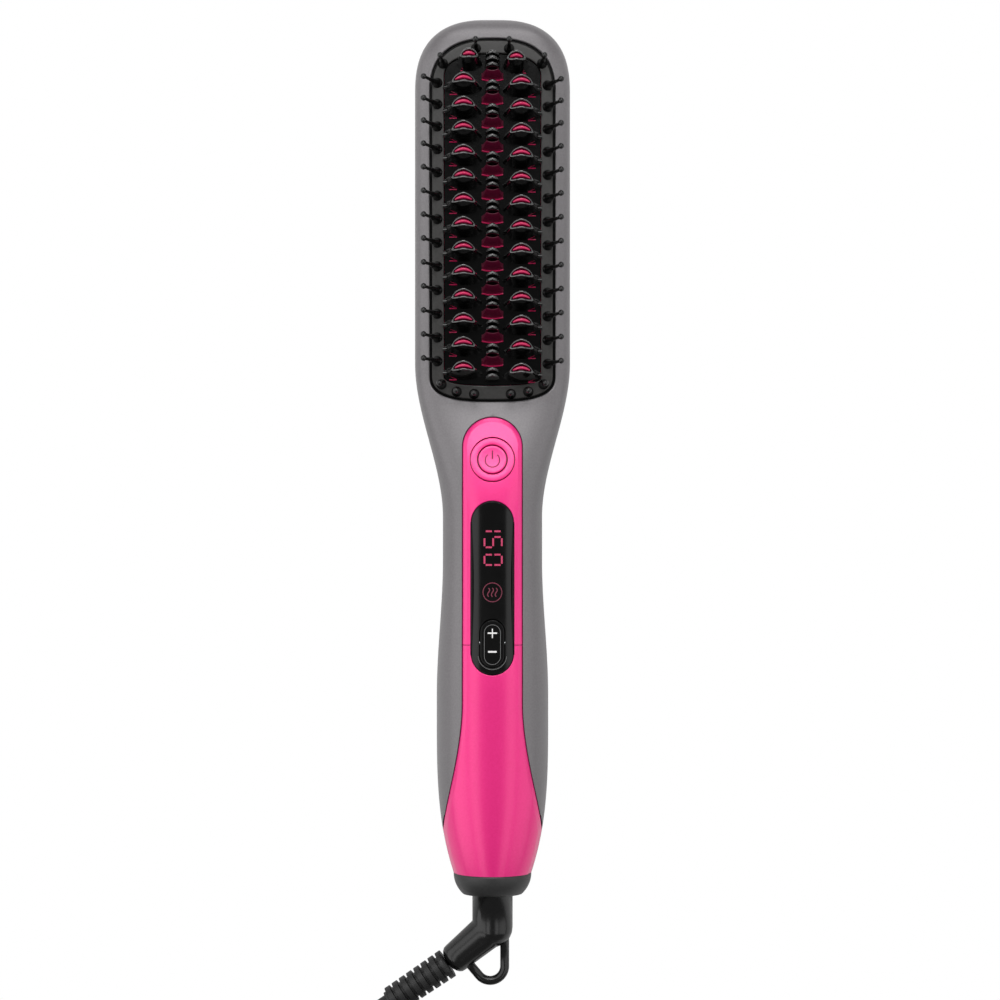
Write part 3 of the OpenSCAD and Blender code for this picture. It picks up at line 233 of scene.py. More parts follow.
def skin(y, angle, side=1):
    """Point of the skin at an angle, by the superellipse |x/a|^n + |z/b|^n = 1."""
    a, part, b, n = body_section(y, side)
    c, s = np.cos(angle), np.sin(angle)
    k = (np.abs(c) ** n + np.abs(s) ** n) ** (-1 / n)
    return np.stack(np.broadcast_arrays(a * c * k, y, np.maximum(part + b * s * k, 0)), -1)


def skin_height(x, y):
    """Height of the front skin over a point (x, y)."""
    a, part, b, n = body_section(y)
    return part + b * np.clip(1 - np.abs(x / np.maximum(a, 1e-6)) ** n, 0, 1) ** (1 / n)


def angle_at(x, y):
    """Angle at which the front skin is x away from the middle."""
    a, _, _, n = body_section(y)
    xr = np.clip(x / np.maximum(a, 1e-6), 0, 1)
    return np.arctan2((1 - xr**n) ** (1 / n), xr)


# %% [markdown]
# Openings and panels have outlines seen from the front. Each outline can be moved in or out by d, so that
# the sheet round it and the rounded lip in it meet on one line.

# %% Outlines
def outline_half(y, middle, reach, half, d, power, far):
    """Half width at y of one round end, a superellipse quarter of the given reach; far is +1 or -1."""
    q = np.clip(far * (y - middle) / (reach - d), 0, 1)
    s = q ** (power / 2)
    inside = far * (y - middle) < reach - d
    return np.where(inside, (half - d) * np.sqrt(np.clip(1 - s * s, 0, 1)) ** (2 / power), 0)


def pad_half_at(y, d=0.0):
    """Half width of the pad's outline at y, moved in by d."""
    top = outline_half(y, y_pad - pad_top_reach, pad_top_reach, pad_half, d, 2.5, 1)
    foot = outline_half(y, y_pad_foot + pad_foot_reach, pad_foot_reach, pad_half, d, 2.8, -1)
    return np.where(y > 100, top, foot)


def panel_half_at(y, d=0.0):
    """Half width of the pink panels at y, moved in by d: half a circle, straight, then a flare."""
    u = y - (y_fascia - panel_half_w)
    pill = np.sqrt(np.clip((panel_half_w - d) ** 2 - u * u, 0, None))
    flare = np.clip((y_flare - y) / flare_len, 0, 1) ** 1.7
    wide = mix(panel_half_w, body_section(y)[0], flare) - d
    return np.where(u > 0, pill, np.where(y > y_flare, panel_half_w - d, wide))


def slot_half_at(y, mid, length, width, d=0.0):
    """Half width of a slot with two round ends, moved in by d."""
    u = np.abs(y - mid) - (length - width) / 2
    r = width / 2 - d
    return np.where(u > 0, np.sqrt(np.clip(r * r - u * u, 0, None)), r)


def fine(*stretches):
    """Stations from a list of (start, end, count, power): a power over 1 packs them near the start."""
    parts = [a + (b - a) * np.linspace(0, 1, n) ** p for a, b, n, p in stretches]
    return np.unique(np.round(np.concatenate(parts), 4))


def strip(ys, outer, inner, columns):
    """Sheet on the front skin between two half widths, both sides of the brush: two mirrored grids."""
    a0, a1 = angle_at(outer, ys), angle_at(inner, ys)
    share = np.linspace(0, 1, columns)[None, :]
    angle = a0[:, None] + (a1 - a0)[:, None] * share
    right = skin(ys[:, None], angle)
    left = right * [-1, 1, 1]
    return [(right, False, OPEN), (left, True, OPEN)]


def lip(outline, steps, wrap, flip=False):
    """Rounded edge: the outline moved in by d and sunk by e under the skin, for each (d, e)."""
    rows = []
    for d, e in steps:
        xy = outline(d)
        rows.append(np.column_stack([xy, skin_height(xy[:, 0], xy[:, 1]) - e]))
    return [(np.array(rows), flip, (False, wrap))]


def rounded(f, depth, n=5):
    """Steps of a lip: a quarter round of radius f, from the skin down, then a straight wall."""
    a = np.linspace(0, math.pi / 2, n)
    return [(-f * (1 - math.sin(t)), f * (1 - math.cos(t))) for t in a] + [(0, depth)]


def outer_round(f, depth, n=5):
    """Steps of an outer edge: a straight wall from a depth up, then a quarter round onto the top."""
    a = np.linspace(0, math.pi / 2, n)
    return [(0, depth)] + [(f * (1 - math.cos(t)), f * (1 - math.sin(t))) for t in a]


def pad_outline(d):
    """Closed outline of the pad, anticlockwise, moved in by d."""
    t = np.radians(np.linspace(0, 360, 240, endpoint=False))
    c, s = np.cos(t), np.sin(t)
    n = np.where(s >= 0, 2.5, 2.8)
    r = np.where(s >= 0, pad_top_reach, pad_foot_reach)
    y0 = np.where(s >= 0, y_pad - pad_top_reach, y_pad_foot + pad_foot_reach)
    x = (pad_half - d) * np.sign(c) * np.abs(c) ** (2 / n)
    return np.column_stack([x, y0 + (r - d) * np.sign(s) * np.abs(s) ** (2 / n)])


def slot_outline(mid, length, width):
    """Closed outline of a slot with round ends, anticlockwise, as a function of d."""
    t = np.radians(np.linspace(0, 360, 97)[:-1])
    shift = np.where(np.sin(t) >= 0, 1, -1) * (length - width) / 2

    def outline(d):
        r = width / 2 - d
        return np.column_stack([r * np.cos(t), mid + shift + r * np.sin(t)])

    return outline


def panel_outline(y_low, d):
    """The panels' edge from low on the right, round the pill's top, to low on the left, moved in by d."""
    y = np.linspace(y_low, y_fascia - panel_half_w, 60)[:-1]
    right = np.column_stack([panel_half_at(y, d), y])
    t = np.radians(np.linspace(0, 180, 61))
    r = panel_half_w - d
    top = np.column_stack([r * np.cos(t), y_fascia - panel_half_w + r * np.sin(t)])
    return np.vstack([right, top, right[::-1] * [-1, 1]])


# %% [markdown]
# ## Housings
# The front shell is one sheet from the parting line up to the openings: the pad's outline in the head and
# the pink panels' outline along the handle. Where there is no opening, the two halves meet in the middle.
# The rear shell is a plain half. Both turn in a little at the parting line, which leaves the fine dark
# seam that two moulded halves have.

# %% Front and rear housing
f_pad, f_panel = 0.5, 0.25
shell_y = fine(
    (y_tip, y_arc, 34, 2.2), (y_arc, y_head, 60, 1), (y_head, y_end, 150, 1),
    (y_pad + f_pad, y_pad - pad_top_reach, 34, 2), (y_pad_foot - f_pad, y_pad_foot + 10, 22, 2),
    (y_fascia + seam + f_panel, y_fascia - 10.2, 26, 2), (y_wing + 0.5, y_flare, 30, 1),
)[::-1]
hole = np.maximum(pad_half_at(shell_y, -f_pad), panel_half_at(shell_y, -seam - f_panel) * (shell_y < 32))
half = body_section(shell_y)[0]
hole = np.where((shell_y < y_wing + 1.0), half, np.minimum(hole, half))
front = strip(shell_y, half, hole, 34)
pad_lip = lip(pad_outline, rounded(f_pad, 2.6), True)
panel_lip = lip(lambda d: panel_outline(y_wing + 6, d - seam), rounded(f_panel, 1.6), False)
front_shell = make_piece("front_shell", front + pad_lip + panel_lip, "handle")
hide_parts("front_housing")

rear_y = fine((y_tip, y_arc, 30, 2.2), (y_arc, y_head, 50, 1), (y_head, y_end, 110, 1))[::-1]
rear_angle = np.radians(np.linspace(0, 180, 73))[None, :]
rear_grid = skin(rear_y[:, None], rear_angle, side=-1)
rear_grid[..., 2] = np.maximum(rear_grid[..., 2], 0.05)
print("front shell faces:", len(front_shell.data.polygons))
rear_shell = make_piece("rear_shell", [(rear_grid, True, OPEN)], "handle")
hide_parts("rear_housing")

# %% [markdown]
# ## Pink panels
# The control fascia and the handle cover are sheets on the same skin. Their edge is a wide shallow
# chamfer, which shows in the photograph as a darker band just inside the outline, and a small round.
# The display window's slot runs through both.

# %% Control fascia and handle cover
chamfer_w, chamfer_h = 1.5, 0.42
panel_steps = [(chamfer_w, 0.0), (chamfer_w - 0.12, 0.015), (0.3, chamfer_h - 0.05), (0.1, chamfer_h + 0.05),
    (0.0, chamfer_h + 0.3), (0.0, 1.5)]
slot_mid = (y_window + y_window_foot) / 2
slot_edge = slot_outline(slot_mid, window_len, window_w)
f_slot = 0.2
button_tilt = math.atan((float(skin_height(0.0, y_button - 1)) - float(skin_height(0.0, y_button + 1))) / 2)
button_z = float(skin_height(0.0, y_button))
ring_r, button_r, groove, f_ring = 7.6, 4.88, 0.1, 0.15
hole_r = ring_r + groove + f_ring


def panel_sheet(ys, button_hole=False):
    """The panels' sheet between the slot (or the middle) and the chamfer's inner line."""
    inner = slot_half_at(ys, slot_mid, window_len, window_w, -seam - f_slot)
    if button_hole:
        u = ys - y_button
        inner = np.maximum(inner, np.sqrt(np.clip(hole_r**2 - u * u, 0, None)))
    outer = panel_half_at(ys, chamfer_w)
    return strip(ys, outer, np.minimum(inner, outer), 22)


fascia_y = fine((y_fascia - chamfer_w, y_fascia - 9, 20, 2), (y_fascia - 9, y_seam + 0.1, 90, 1),
    (y_button + hole_r, y_button, 24, 2), (y_button - hole_r, y_button, 24, 2),
    (y_window + seam + f_slot, y_window - 8, 20, 2))[::-1]
slot_rows = rounded(f_slot, 1.3)


def cut_at(outline, keep):
    """The part of a closed outline where keep(y) holds, in order from where the run starts."""

    def part(d):
        xy = outline(d)
        on = keep(outline(0.0)[:, 1])
        first = np.flatnonzero(on & ~np.roll(on, 1))[0]
        return np.roll(xy, -first, 0)[: on.sum()]

    return part


slot_in = lambda d: slot_edge(d - seam)
ring_hole = slot_outline(y_button, 2 * (ring_r + groove), 2 * (ring_r + groove))
upper_slot = cut_at(slot_in, lambda y: y > y_seam)
lower_slot = cut_at(slot_in, lambda y: y < y_seam)
fascia = make_piece("fascia_panel",
    panel_sheet(fascia_y, True)
    + lip(lambda d: panel_outline(y_seam + 0.1, d), panel_steps[::-1], False)
    + lip(upper_slot, slot_rows, False) + lip(ring_hole, rounded(f_ring, 1.2), True),
    "handle", sharp_deg=50)
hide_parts("control_fascia")

cover_y = fine((y_seam - 0.1, y_end, 110, 1), (y_window_foot - seam - f_slot, y_window_foot + 8, 20, 2),
    (y_wing, y_flare, 30, 1))[::-1]
cover_sheet = panel_sheet(cover_y)
edge_y = np.linspace(y_end, y_seam - 0.1, 150)
cover_edges = []
for side in (1, -1):
    def edge(d, side=side):
        return np.column_stack([side * panel_half_at(edge_y, d), edge_y])
    cover_edges += lip(edge, panel_steps[::-1], False, side < 0)
cover = make_piece("cover_panel", cover_sheet + cover_edges + lip(lower_slot, slot_rows, False),
    "handle", sharp_deg=50)
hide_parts("handle_cover")

# %% [markdown]
# ## Power button and its ring
# Both are turned profiles, tilted to lie square on the sloping fascia. The grooves between fascia, ring
# and button are what the eye reads, so every edge has its small round. The power sign is moulded in as a
# shallow line; here it is a flat line just over the dish, in a darker pink that is painted shade.

# %% Ring, button and power sign
def spun(profile, sides):
    """Rings of a profile of (radius, height), turned about an upright axis."""
    p = np.asarray(profile, float)
    a = np.linspace(0, 2 * math.pi, sides, endpoint=False)
    return np.stack([p[:, 0, None] * np.cos(a), p[:, 0, None] * np.sin(a),
        np.repeat(p[:, 1, None], sides, 1)], -1)


def turned(profile, sides):
    """A turned profile, tilted and set on the fascia at the button."""
    return on_fascia(spun(profile, sides))


def on_fascia(local):
    """Turns points from the button's own frame, by its tilt about X, and moves them to its place."""
    c, s = math.cos(-button_tilt), math.sin(-button_tilt)
    y, z = local[..., 1] * c - local[..., 2] * s, local[..., 1] * s + local[..., 2] * c
    return np.stack([local[..., 0], y_button + y, button_z + z], -1)


def corner(r, h, f, out=1, n=5):
    """Quarter-round corner of a profile at radius r and height h, with fillet f, outer or inner."""
    a = np.linspace(0, math.pi / 2, n)
    return [(r - out * f * (1 - math.cos(t)), h - f * (1 - math.sin(t))) for t in a]


ring_profile = ([(ring_r - groove, -1.6)] + corner(ring_r - groove, 0.28, 0.25)
    + corner(button_r + 0.3, 0.28, 0.25, -1)[::-1] + [(button_r + 0.3, -1.6)])
bezel = make_piece("button_bezel", [(turned(ring_profile, 96), False, RING_COLUMNS)], "handle")
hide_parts("button_ring")
dish = [(r, 0.18 + 0.12 * (r / 4.0) ** 2) for r in (0.0, 1.0, 2.0, 3.0, 3.8)]
button_profile = dish + corner(button_r - 0.05, 0.36, 0.3)[::-1] + [(button_r - 0.05, -2.5), (0.0, -2.5)]
button = make_piece("button_cap", [(turned(button_profile, 72), False, RING_COLUMNS)], "power_button",
    closed=True)
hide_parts("power_button")


def stroke(path, width, lift, height_at):
    """Flat line of a given width along a path in the plane, laid a little over a surface."""
    t = np.gradient(path, axis=0)
    t /= np.linalg.norm(t, axis=1)[:, None]
    n = np.column_stack([-t[:, 1], t[:, 0]]) * width / 2
    sides = [path + n, path - n]
    return np.stack([np.column_stack([p, height_at(p[:, 0], p[:, 1]) + lift]) for p in sides], 1)


arc = np.radians(np.linspace(130, 410, 40))
dish_height = lambda x, y: 0.18 + 0.12 * (np.hypot(x, y) / 4.0) ** 2
sign_arc = stroke(2.45 * np.column_stack([np.cos(arc), np.sin(arc)]) - [0, 0.25], 0.42, 0.03, dish_height)
sign_bar = stroke(np.array([[0, 0.1], [0, 1.6], [0, 3.1]]), 0.5, 0.03, dish_height)
power_sign = make_piece("power_sign", [(on_fascia(line), False, OPEN) for line in (sign_arc, sign_bar)],
    "power_button")

# %% [markdown]
# ## Display window and rocker key
# The window is a long polished black oval. The temperature key lies in its lower end, in a round-ended
# groove, and its plus and minus are printed white. The digits shine through from an LED module behind, so
# here they are thin red bars just on the window's face. They read down the handle. Two fine grey oval
# lines are painted highlights of grooves: one round the key's signs, and one round the foot of its groove.

# %% Window, key and their signs
key_len, key_w, key_gap = 16.0, 8.2, 0.32
window_in = slot_outline(slot_mid, window_len, window_w)
key_edge = slot_outline(y_key, key_len + 2 * key_gap, key_w + 2 * key_gap)
f_window = 0.3
window_y = fine((y_window - f_window, y_window - 8, 20, 2),
    (y_window_foot + f_window, y_window_foot + 8, 20, 2),
    (y_window - 8, y_window_foot + 8, 40, 1), (y_key + key_len / 2 + key_gap + 0.2, y_key + 4, 18, 2),
    (y_key - key_len / 2 - key_gap - 0.2, y_key - 4, 18, 2))[::-1]
window_out = slot_half_at(window_y, slot_mid, window_len, window_w, f_window)
raise_by = lambda sheets, h: [(g + [0, 0, h], flip, wrap) for g, flip, wrap in sheets]
key_hole = slot_half_at(window_y, y_key, key_len, key_w, -key_gap - 0.2)
window_top = strip(window_y, window_out, np.minimum(key_hole, window_out), 16)
window_side = lip(window_in, outer_round(f_window, 1.4), True)
key_wall = lip(key_edge, rounded(0.2, 1.6), True)
window = make_piece("window_lens", raise_by(window_top + window_side + key_wall, 0.12), "handle")
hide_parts("display_window")

key_y = fine((y_key + key_len / 2 - 0.3, y_key, 26, 2), (y_key - key_len / 2 + 0.3, y_key, 26, 2))[::-1]
key_face = slot_outline(y_key, key_len, key_w)
key_top = strip(key_y, slot_half_at(key_y, y_key, key_len, key_w, 0.3), 0 * key_y, 12)
key_side = lip(key_face, outer_round(0.3, 2.2), True)
key = make_piece("key_cap", raise_by(key_top + key_side, 0.3), "temp_rocker")
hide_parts("temp_rocker")


def bar(x0, y0, x1, y1, width, lift):
    """Straight flat bar between two points, on the front skin."""
    path = np.linspace([x0, y0], [x1, y1], 5)
    return (stroke(path, width, lift, skin_height), False, OPEN)


plus_y, minus_y = y_key + 3.6, y_key - 2.7
key_signs = make_piece("key_signs", [
    bar(-1.6, plus_y, 1.6, plus_y, 0.5, 0.33), bar(0, plus_y - 1.7, 0, plus_y - 0.25, 0.34, 0.33),
    bar(0, plus_y + 0.25, 0, plus_y + 1.5, 0.34, 0.33), bar(-1.45, minus_y, 1.45, minus_y, 0.6, 0.33)],
    "temp_rocker")
# The two grey oval lines are painted highlights of grooves, not print.
oval = slot_outline(y_key - 0.3, 13.4, 5.5)(0.0)
oval = np.vstack([oval, oval[:1]])
key_line = make_piece("key_line", [(stroke(oval, 0.16, 0.33, skin_height), False, OPEN)], "temp_rocker")
rim_line = slot_outline(y_key, key_len + 1.5, key_w + 1.5)(0.0)
rim_line = rim_line[rim_line[:, 1] < y_key + 1]
key_rim = make_piece("key_rim", [(stroke(rim_line, 0.16, 0.14, skin_height), False, OPEN)], "handle")

digit_h, digit_w, bar_w, digit_x = 5.9, 3.5, 0.6, 0.25
segment_ends = {
    "a": ((0, 1), (1, 1)), "b": ((1, 1), (1, 0.5)), "c": ((1, 0.5), (1, 0)), "d": ((1, 0), (0, 0)),
    "e": ((0, 0), (0, 0.5)), "f": ((0, 0.5), (0, 1)), "g": ((0, 0.5), (1, 0.5)),
}
digit_bars = []
for lit, y_first in (("bc", -10.04 + digit_w), ("acdfg", -12.0), ("abcdef", -18.0)):
    for name in lit:
        (u0, v0), (u1, v1) = segment_ends[name]
        ends = np.array([[digit_x - digit_h / 2 + digit_h * v, y_first - digit_w * u]
            for u, v in ((u0, v0), (u1, v1))])
        gap = 0.42 * (ends[1] - ends[0]) / np.linalg.norm(ends[1] - ends[0])
        digit_bars.append(bar(*(ends[0] + gap), *(ends[1] - gap), bar_w, 0.14))
digits = make_piece("display_digits", digit_bars, "handle")
icon_y, icon_t = -30.8, np.radians(np.linspace(0, 360, 49))
icon_ring = np.column_stack([3.2 * np.cos(icon_t), icon_y + 3.2 * np.sin(icon_t)])
icon = [(stroke(icon_ring, 0.3, 0.14, skin_height), False, OPEN)]
for x in (-1.3, 0.0, 1.3):
    t = np.linspace(-1.5, 1.5, 17)
    wave = np.column_stack([x + 0.35 * np.sin(2.1 * t), icon_y + t])
    icon.append((stroke(wave, 0.34, 0.14, skin_height), False, OPEN))
steam_icon = make_piece("steam_icon", icon, "handle")

# %% [markdown]
# ## The pad
# The pad is a dark grey frame with rounded edges. It carries the bristles, and a black gap of about a
# millimetre parts it from the housing. Its section is carried round two outlines, the pad's and the
# window's, which have the same number of points, so rings of both join into one closed sheet.

# %% Pad frame
frame_z, gap_w = 19.0, 0.85


def window_outline(d):
    """Closed outline of the frame's window, anticlockwise, moved in by d."""
    t = np.radians(np.linspace(0, 360, 240, endpoint=False))
    c, s = np.cos(t), np.sin(t)
    r = np.where(s >= 0, 8.0, 3.0)
    y0 = np.where(s >= 0, y_pad - 5.2 - 8.0, y_pad_foot + 5.6 + 3.0)
    x = (16.7 - d) * np.sign(c) * np.abs(c) ** (2 / 2.4)
    return np.column_stack([x, y0 + (r - d) * np.sign(s) * np.abs(s) ** (2 / 2.4)])


def at_height(xy, z):
    """Points of an outline, all at one height."""
    return np.column_stack([xy, np.full(len(xy), z)])


frame_steps = [(seam * 2, frame_z), (seam * 2, 19.9), (gap_w, 19.9)]
frame_steps += [(gap_w + 0.4 * (1 - math.cos(t)), pad_z - 0.4 * (1 - math.sin(t)))
    for t in np.linspace(0, math.pi / 2, 6)]
frame_rings = [at_height(pad_outline(d), z) for d, z in frame_steps]
frame_rings += [at_height(pad_outline(gap_w + 0.55), pad_z)] + [at_height(window_outline(d), z) for d, z in (
    (-0.45, pad_z), (-0.3, pad_z), (-0.12, pad_z - 0.05), (0.0, pad_z - 0.3), (0.0, frame_z))]
frame_rings.append(frame_rings[0])
pad_frame = make_piece("pad_frame", [(np.array(frame_rings), False, RING_COLUMNS)], "handle",
    closed=True)
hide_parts("bristle_frame")

# %% [markdown]
# Between moulded parts one looks into dark gaps. The sheets here have no inside, so a black liner lies
# under each gap as painted shade: round the pad, along the panels, in the ring's grooves, and deep under the
# key.

# %% Black liner of painted shade in the gaps
liner = make_piece("painted_shade_gap_liner", [(np.array([at_height(pad_outline(d), 19.94) for d in (-0.3, 0.95)]), False,
    RING_COLUMNS)] + lip(lambda d: panel_outline(y_wing + 6, d), [(-0.7, 1.15), (0.4, 1.15)], False)
    + [(turned([(r, -1.0) for r in (button_r - 0.4, ring_r + 0.6)], 96), True, RING_COLUMNS)]
    + lip(key_edge, [(-0.6, 3.1), (1.5, 3.1)], True), "handle")

# %% [markdown]
# ## Teeth
# Every side tooth is a hot pink blade inside a cool black hood. A hood's outline is a lens: two arcs that
# meet at its ends. Going up, the lens gets smaller, leans towards the tip and bends, so that its crest is
# an arch seen from the front, as in the photograph. The crest is a rounded rim round a slot, and the
# blade's own rounded crest stands just out of it. One function of two parameters, the turn round the lens
# and the step along the wall, gives all the rings of one hood at once, and the rows repeat it.

# %% The lens function
lens_turn = np.radians(np.linspace(0, 360, 40, endpoint=False))


def lens_rings(steps, power=1.3):
    """Rings of a leaning, bent lens. Each step is (half length, half width, height, shift towards the
    tip, bend, arch): x = length cos t, y = width |sin t|^power + shift - bend x^2, z = height -
    arch (x/length)^2."""
    p = np.array(steps, float)[:, :, None]
    c, s = np.cos(lens_turn), np.sin(lens_turn)
    x = p[:, 0] * c
    y = p[:, 1] * np.sign(s) * np.abs(s) ** power + p[:, 3] - p[:, 4] * x * x
    return np.stack([x, y, p[:, 2] - p[:, 5] * c * c + 0 * x], -1)


first_row, row_pitch, lean = 6.6, 8.17, 2.4
fin_x, right_drop, middle_drop = 9.85, 0.85, 2.45
rows = 14
fin_y = [y_pad - first_row - lean - row_pitch * k for k in range(rows)]
side_teeth = [(side, fin_y[k] - (right_drop if side > 0 else 0)) for k in range(rows) for side in (-1, 1)]

# %% [markdown]
# The hoods are glossy nylon, moulded in one with a guard plate over the hot plate. A hood is a stack of
# lens rings: up the wall, over a half-round rim, and down into the slot for the blade. The plate is a piece
# of its own here, because its edges are shaded sharper and its black is darker and duller, as painted shade
# between the hoods.

# %% Hoods and the guard plate
hood_h = 13.4
guard_z = frame_z + 1.6


def hood_cut(y):
    """Length that a hood loses at its outer end, where the frame's window narrows."""
    return 0.45 * max(0.0, y - (y_pad - 17.5))


def hood_steps(cut):
    """From the foot, 0, to the crest, 1; then over the rim, a half round, and down into the slot."""
    steps = []
    for v in (0.0, 0.06, 0.12, 0.2, 0.28, 0.38, 0.5, 0.62, 0.74, 0.86, 0.93):
        steps.append((mix(6.55 - cut / 2, 4.1 - cut / 4, v), mix(2.6, 1.8, v**0.8), frame_z + 0.6 + 12.33 * v,
            lean * v, mix(0.006, 0.09, v * v), 1.6 * v**3))
    rim = 0.475
    for t in np.radians([0, 25, 50, 75, 90, 105, 130, 155, 180]):
        inset = rim * (1 - math.cos(t))
        rim_z = frame_z + hood_h - rim * (1 - math.sin(t))
        steps.append((4.1 - cut / 4 - inset, 1.8 - inset, rim_z, lean, 0.09, 1.6))
    steps.append((3.15 - cut / 4, 0.85, frame_z + hood_h - 3.5, lean - 0.5, 0.08, 1.4))
    steps.append((0.0, 0.0, frame_z + hood_h - 3.5, lean - 0.5, 0.0, 1.4))
    return steps


def hood(side, y):
    """A hood in its place. Its outer end swells over the frame's edge, by a bell curve of the height."""
    cut = hood_cut(y)
    rings = lens_rings(hood_steps(cut))
    swell = 1.0 + 0.24 * (1 - cut / 3) * np.exp(-(((rings[..., 2] - 22.9) / 1.2) ** 2))
    x = rings[..., 0] * np.where(rings[..., 0] > 0, swell, 1.0)
    rings[..., 0] = side * (fin_x - cut / 2 + x)
    rings[..., 1] += y
    return (rings, side < 0, RING_COLUMNS)


guard_rings = [at_height(window_outline(d), z) for d, z in (
    (seam, frame_z), (seam, guard_z - 0.2), (seam + 0.2, guard_z))]
plate_mid = np.array([0.0, (y_pad - 5.2 + y_pad_foot + 5.6) / 2])
ends = [at_height(np.repeat(plate_mid[None], 240, 0), z) for z in (frame_z, guard_z)]
guard_rings = ends[:1] + guard_rings + ends[1:]
guard = make_piece("scald_hoods", [hood(side, y) for side, y in side_teeth], "handle",
    sharp_deg=50)
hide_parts("fin_hoods")
guard_plate = make_piece("guard_plate", [(np.array(guard_rings), False, RING_COLUMNS)], "handle",
    sharp_deg=20, closed=True)
print("hoods:", len(side_teeth), "faces:", len(guard.data.polygons))

# %% [markdown]
# The hot part is one coated aluminium casting. Its blades are thin ridges with a rounded crest, half a
# millimetre taller than the hoods. The middle fins are broad wedges that lean towards the tip. A thin rod
# in the blades' pink lines the foot of each, and short rods lie beside the feet of the hoods.

# %% Hot blades, middle fins and the plate that carries them
blade_h = hood_h + 0.5


def dome(length, width, height, shift, bend, arch, depth):
    """Steps of a rounded ridge: the lens shrinks to its own middle line over a quarter round."""
    return [(length - depth * (1 - math.cos(t)), width * math.cos(t), height - depth * (1 - math.sin(t)),
        shift, bend, arch) for t in np.radians([0, 20, 40, 60, 78, 90])]


def placed(steps, x, y, power):
    """A sheet of lens rings, set at (x, y)."""
    return (lens_rings(steps, power) + [x, y, 0], False, RING_COLUMNS)


blade = [(2.95, 0.46, frame_z, 0.0, 0.0, 0.0), (2.95, 0.46, frame_z + 6, lean * 0.45, 0.03, 0.3)]
blade += dome(2.95, 0.46, frame_z + blade_h, lean, 0.1, 1.2, 0.5)
blades = []
for side, y in side_teeth:
    cut = hood_cut(y)
    steps = [(step[0] - cut / 4, *step[1:]) for step in blade]
    blades.append(placed(steps, side * (fin_x - cut / 2), y, power=0.8))
u = np.linspace(-1, 1, 13)
middle_fins, fin_feet = [], []
for k in range(rows - 1):
    y0 = fin_y[k] - middle_drop
    rings = []
    for z, half_b, back, front in ((frame_z, 3.75, -1.1, -3.15), (guard_z + 0.1, 3.75, -1.0, -3.15),
            (guard_z + 0.35, 3.68, -1.0, -3.0), (guard_z + 0.7, 3.3, -1.0, -2.5), (22.5, 2.95, -0.8, -2.15),
            (25.9, 2.0, -0.25, -0.4)):
        front_row = np.column_stack([half_b * u, y0 + front + 0.5 * u * u, np.full(13, z)])
        back_row = np.column_stack([half_b * u[::-1], y0 + back + 0.5 * u * u, np.full(13, z)])
        rings.append(np.vstack([front_row, back_row]))
    middle_fins.append((capped(np.array(rings)), False, RING_COLUMNS))
    foot = np.column_stack([3.7 * u, y0 - 3.2 + 0.5 * u * u, np.full(13, guard_z + 0.3)])
    fin_feet.append((capped(tube(foot, 0.27, 8)), False, RING_COLUMNS))
for side, y in side_teeth:
    strip_x = fin_x - hood_cut(y) / 2 + np.linspace(2.4, 5.0 - hood_cut(y) / 2, 7)
    foot = np.column_stack([side * strip_x, np.full(7, y - 2.1), np.full(7, guard_z + 0.1)])
    fin_feet.append((capped(tube(foot, 0.2, 8)), False, RING_COLUMNS))
slab_xy = pad_outline(1.0)
slab_xy[:, 0] = np.clip(slab_xy[:, 0], -17.3, 17.3)
slab = capped(np.array([at_height(slab_xy, z) for z in (frame_z - 2.5, frame_z)]))
hot_parts = make_piece("heater_blades", blades + fin_feet + [(slab, False, RING_COLUMNS)], "handle",
    sharp_deg=45, closed=True)
# The middle fins carry a darker coating: painted shade for fins that stand in the teeth's shade.
deep_fins = make_piece("heater_middle_fins", middle_fins, "handle", sharp_deg=45)
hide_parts("heater_plate")

# %% [markdown]
# Between the two rows of hoods stand cool glossy teeth in pairs, with a third in the first row. They use
# the same lens rings and rounded ridge as the blades, smaller and more bent.

# %% Middle teeth
mid_h = 10.6
teeth = []
for k in range(rows):
    for j in range(3 if k == 0 else 2):
        top = frame_z + mid_h - (0.0 if j == 1 else 0.8)
        steps = [(2.7, 0.95, frame_z, 0.0, 0.02, 0.0), (2.62, 0.9, frame_z + 3.5, 0.6, 0.05, 0.1),
            (2.4, 0.75, frame_z + 7.0, 1.2, 0.1, 0.6)]
        steps += dome(2.2, 0.62, top, 1.8, 0.17, 1.3, 0.45)
        teeth.append(placed(steps, 0.0, fin_y[k] - middle_drop + 2.0 * j, power=0.9))
middle = make_piece("middle_teeth_rows", teeth, "handle", closed=True)
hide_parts("middle_teeth")

# %% [markdown]
# ## Bristles
# The 36 bristles are moulded in nylon: a stepped round foot, a slim pin and a ball tip that keeps them
# from scratching. Each is a turned profile, given its lean by two small rotations, and set in its place
# on the pad one by one.

# %% Edge bristles
bristle_profile = [(0.0, -0.7), (1.78, -0.7), (1.8, 0.05), (1.72, 0.3), (1.5, 0.5), (1.32, 1.1),
    (1.1, 2.4), (0.92, 4.2), (0.82, 5.3), (0.6, 5.7), (0.56, 8.5), (0.54, 12.4)]
ball_r, ball_z, ball_t = 1.05, 13.45, np.radians([-48, -20, 5, 30, 55, 75, 90])
bristle_profile += [(ball_r * math.cos(t), ball_z + ball_r * math.sin(t)) for t in ball_t]
side_x = pad_half - 2.6
side_ys = [y_pad - 15.4]
for k in range(1, 13):
    side_ys.append(side_ys[-1] - 8.15 * (1 - 0.16 * math.exp(-k / 2.2)))
places = [(-side_x, y, -19, 2) for y in side_ys] + [(side_x, y - 0.9, 19, 2) for y in side_ys]
for s in (-1, 1):
    places += [(s * 17.0, y_pad - 8.8, s * 3, 4), (s * 5.7, y_pad - 3.6, 0, 5),
        (s * 17.5, y_pad_foot + 6.1, s * 2, 0), (s * 12.3, y_pad_foot + 3.6, 0, 0),
        (s * 6.3, y_pad_foot + 2.8, 0, 0)]


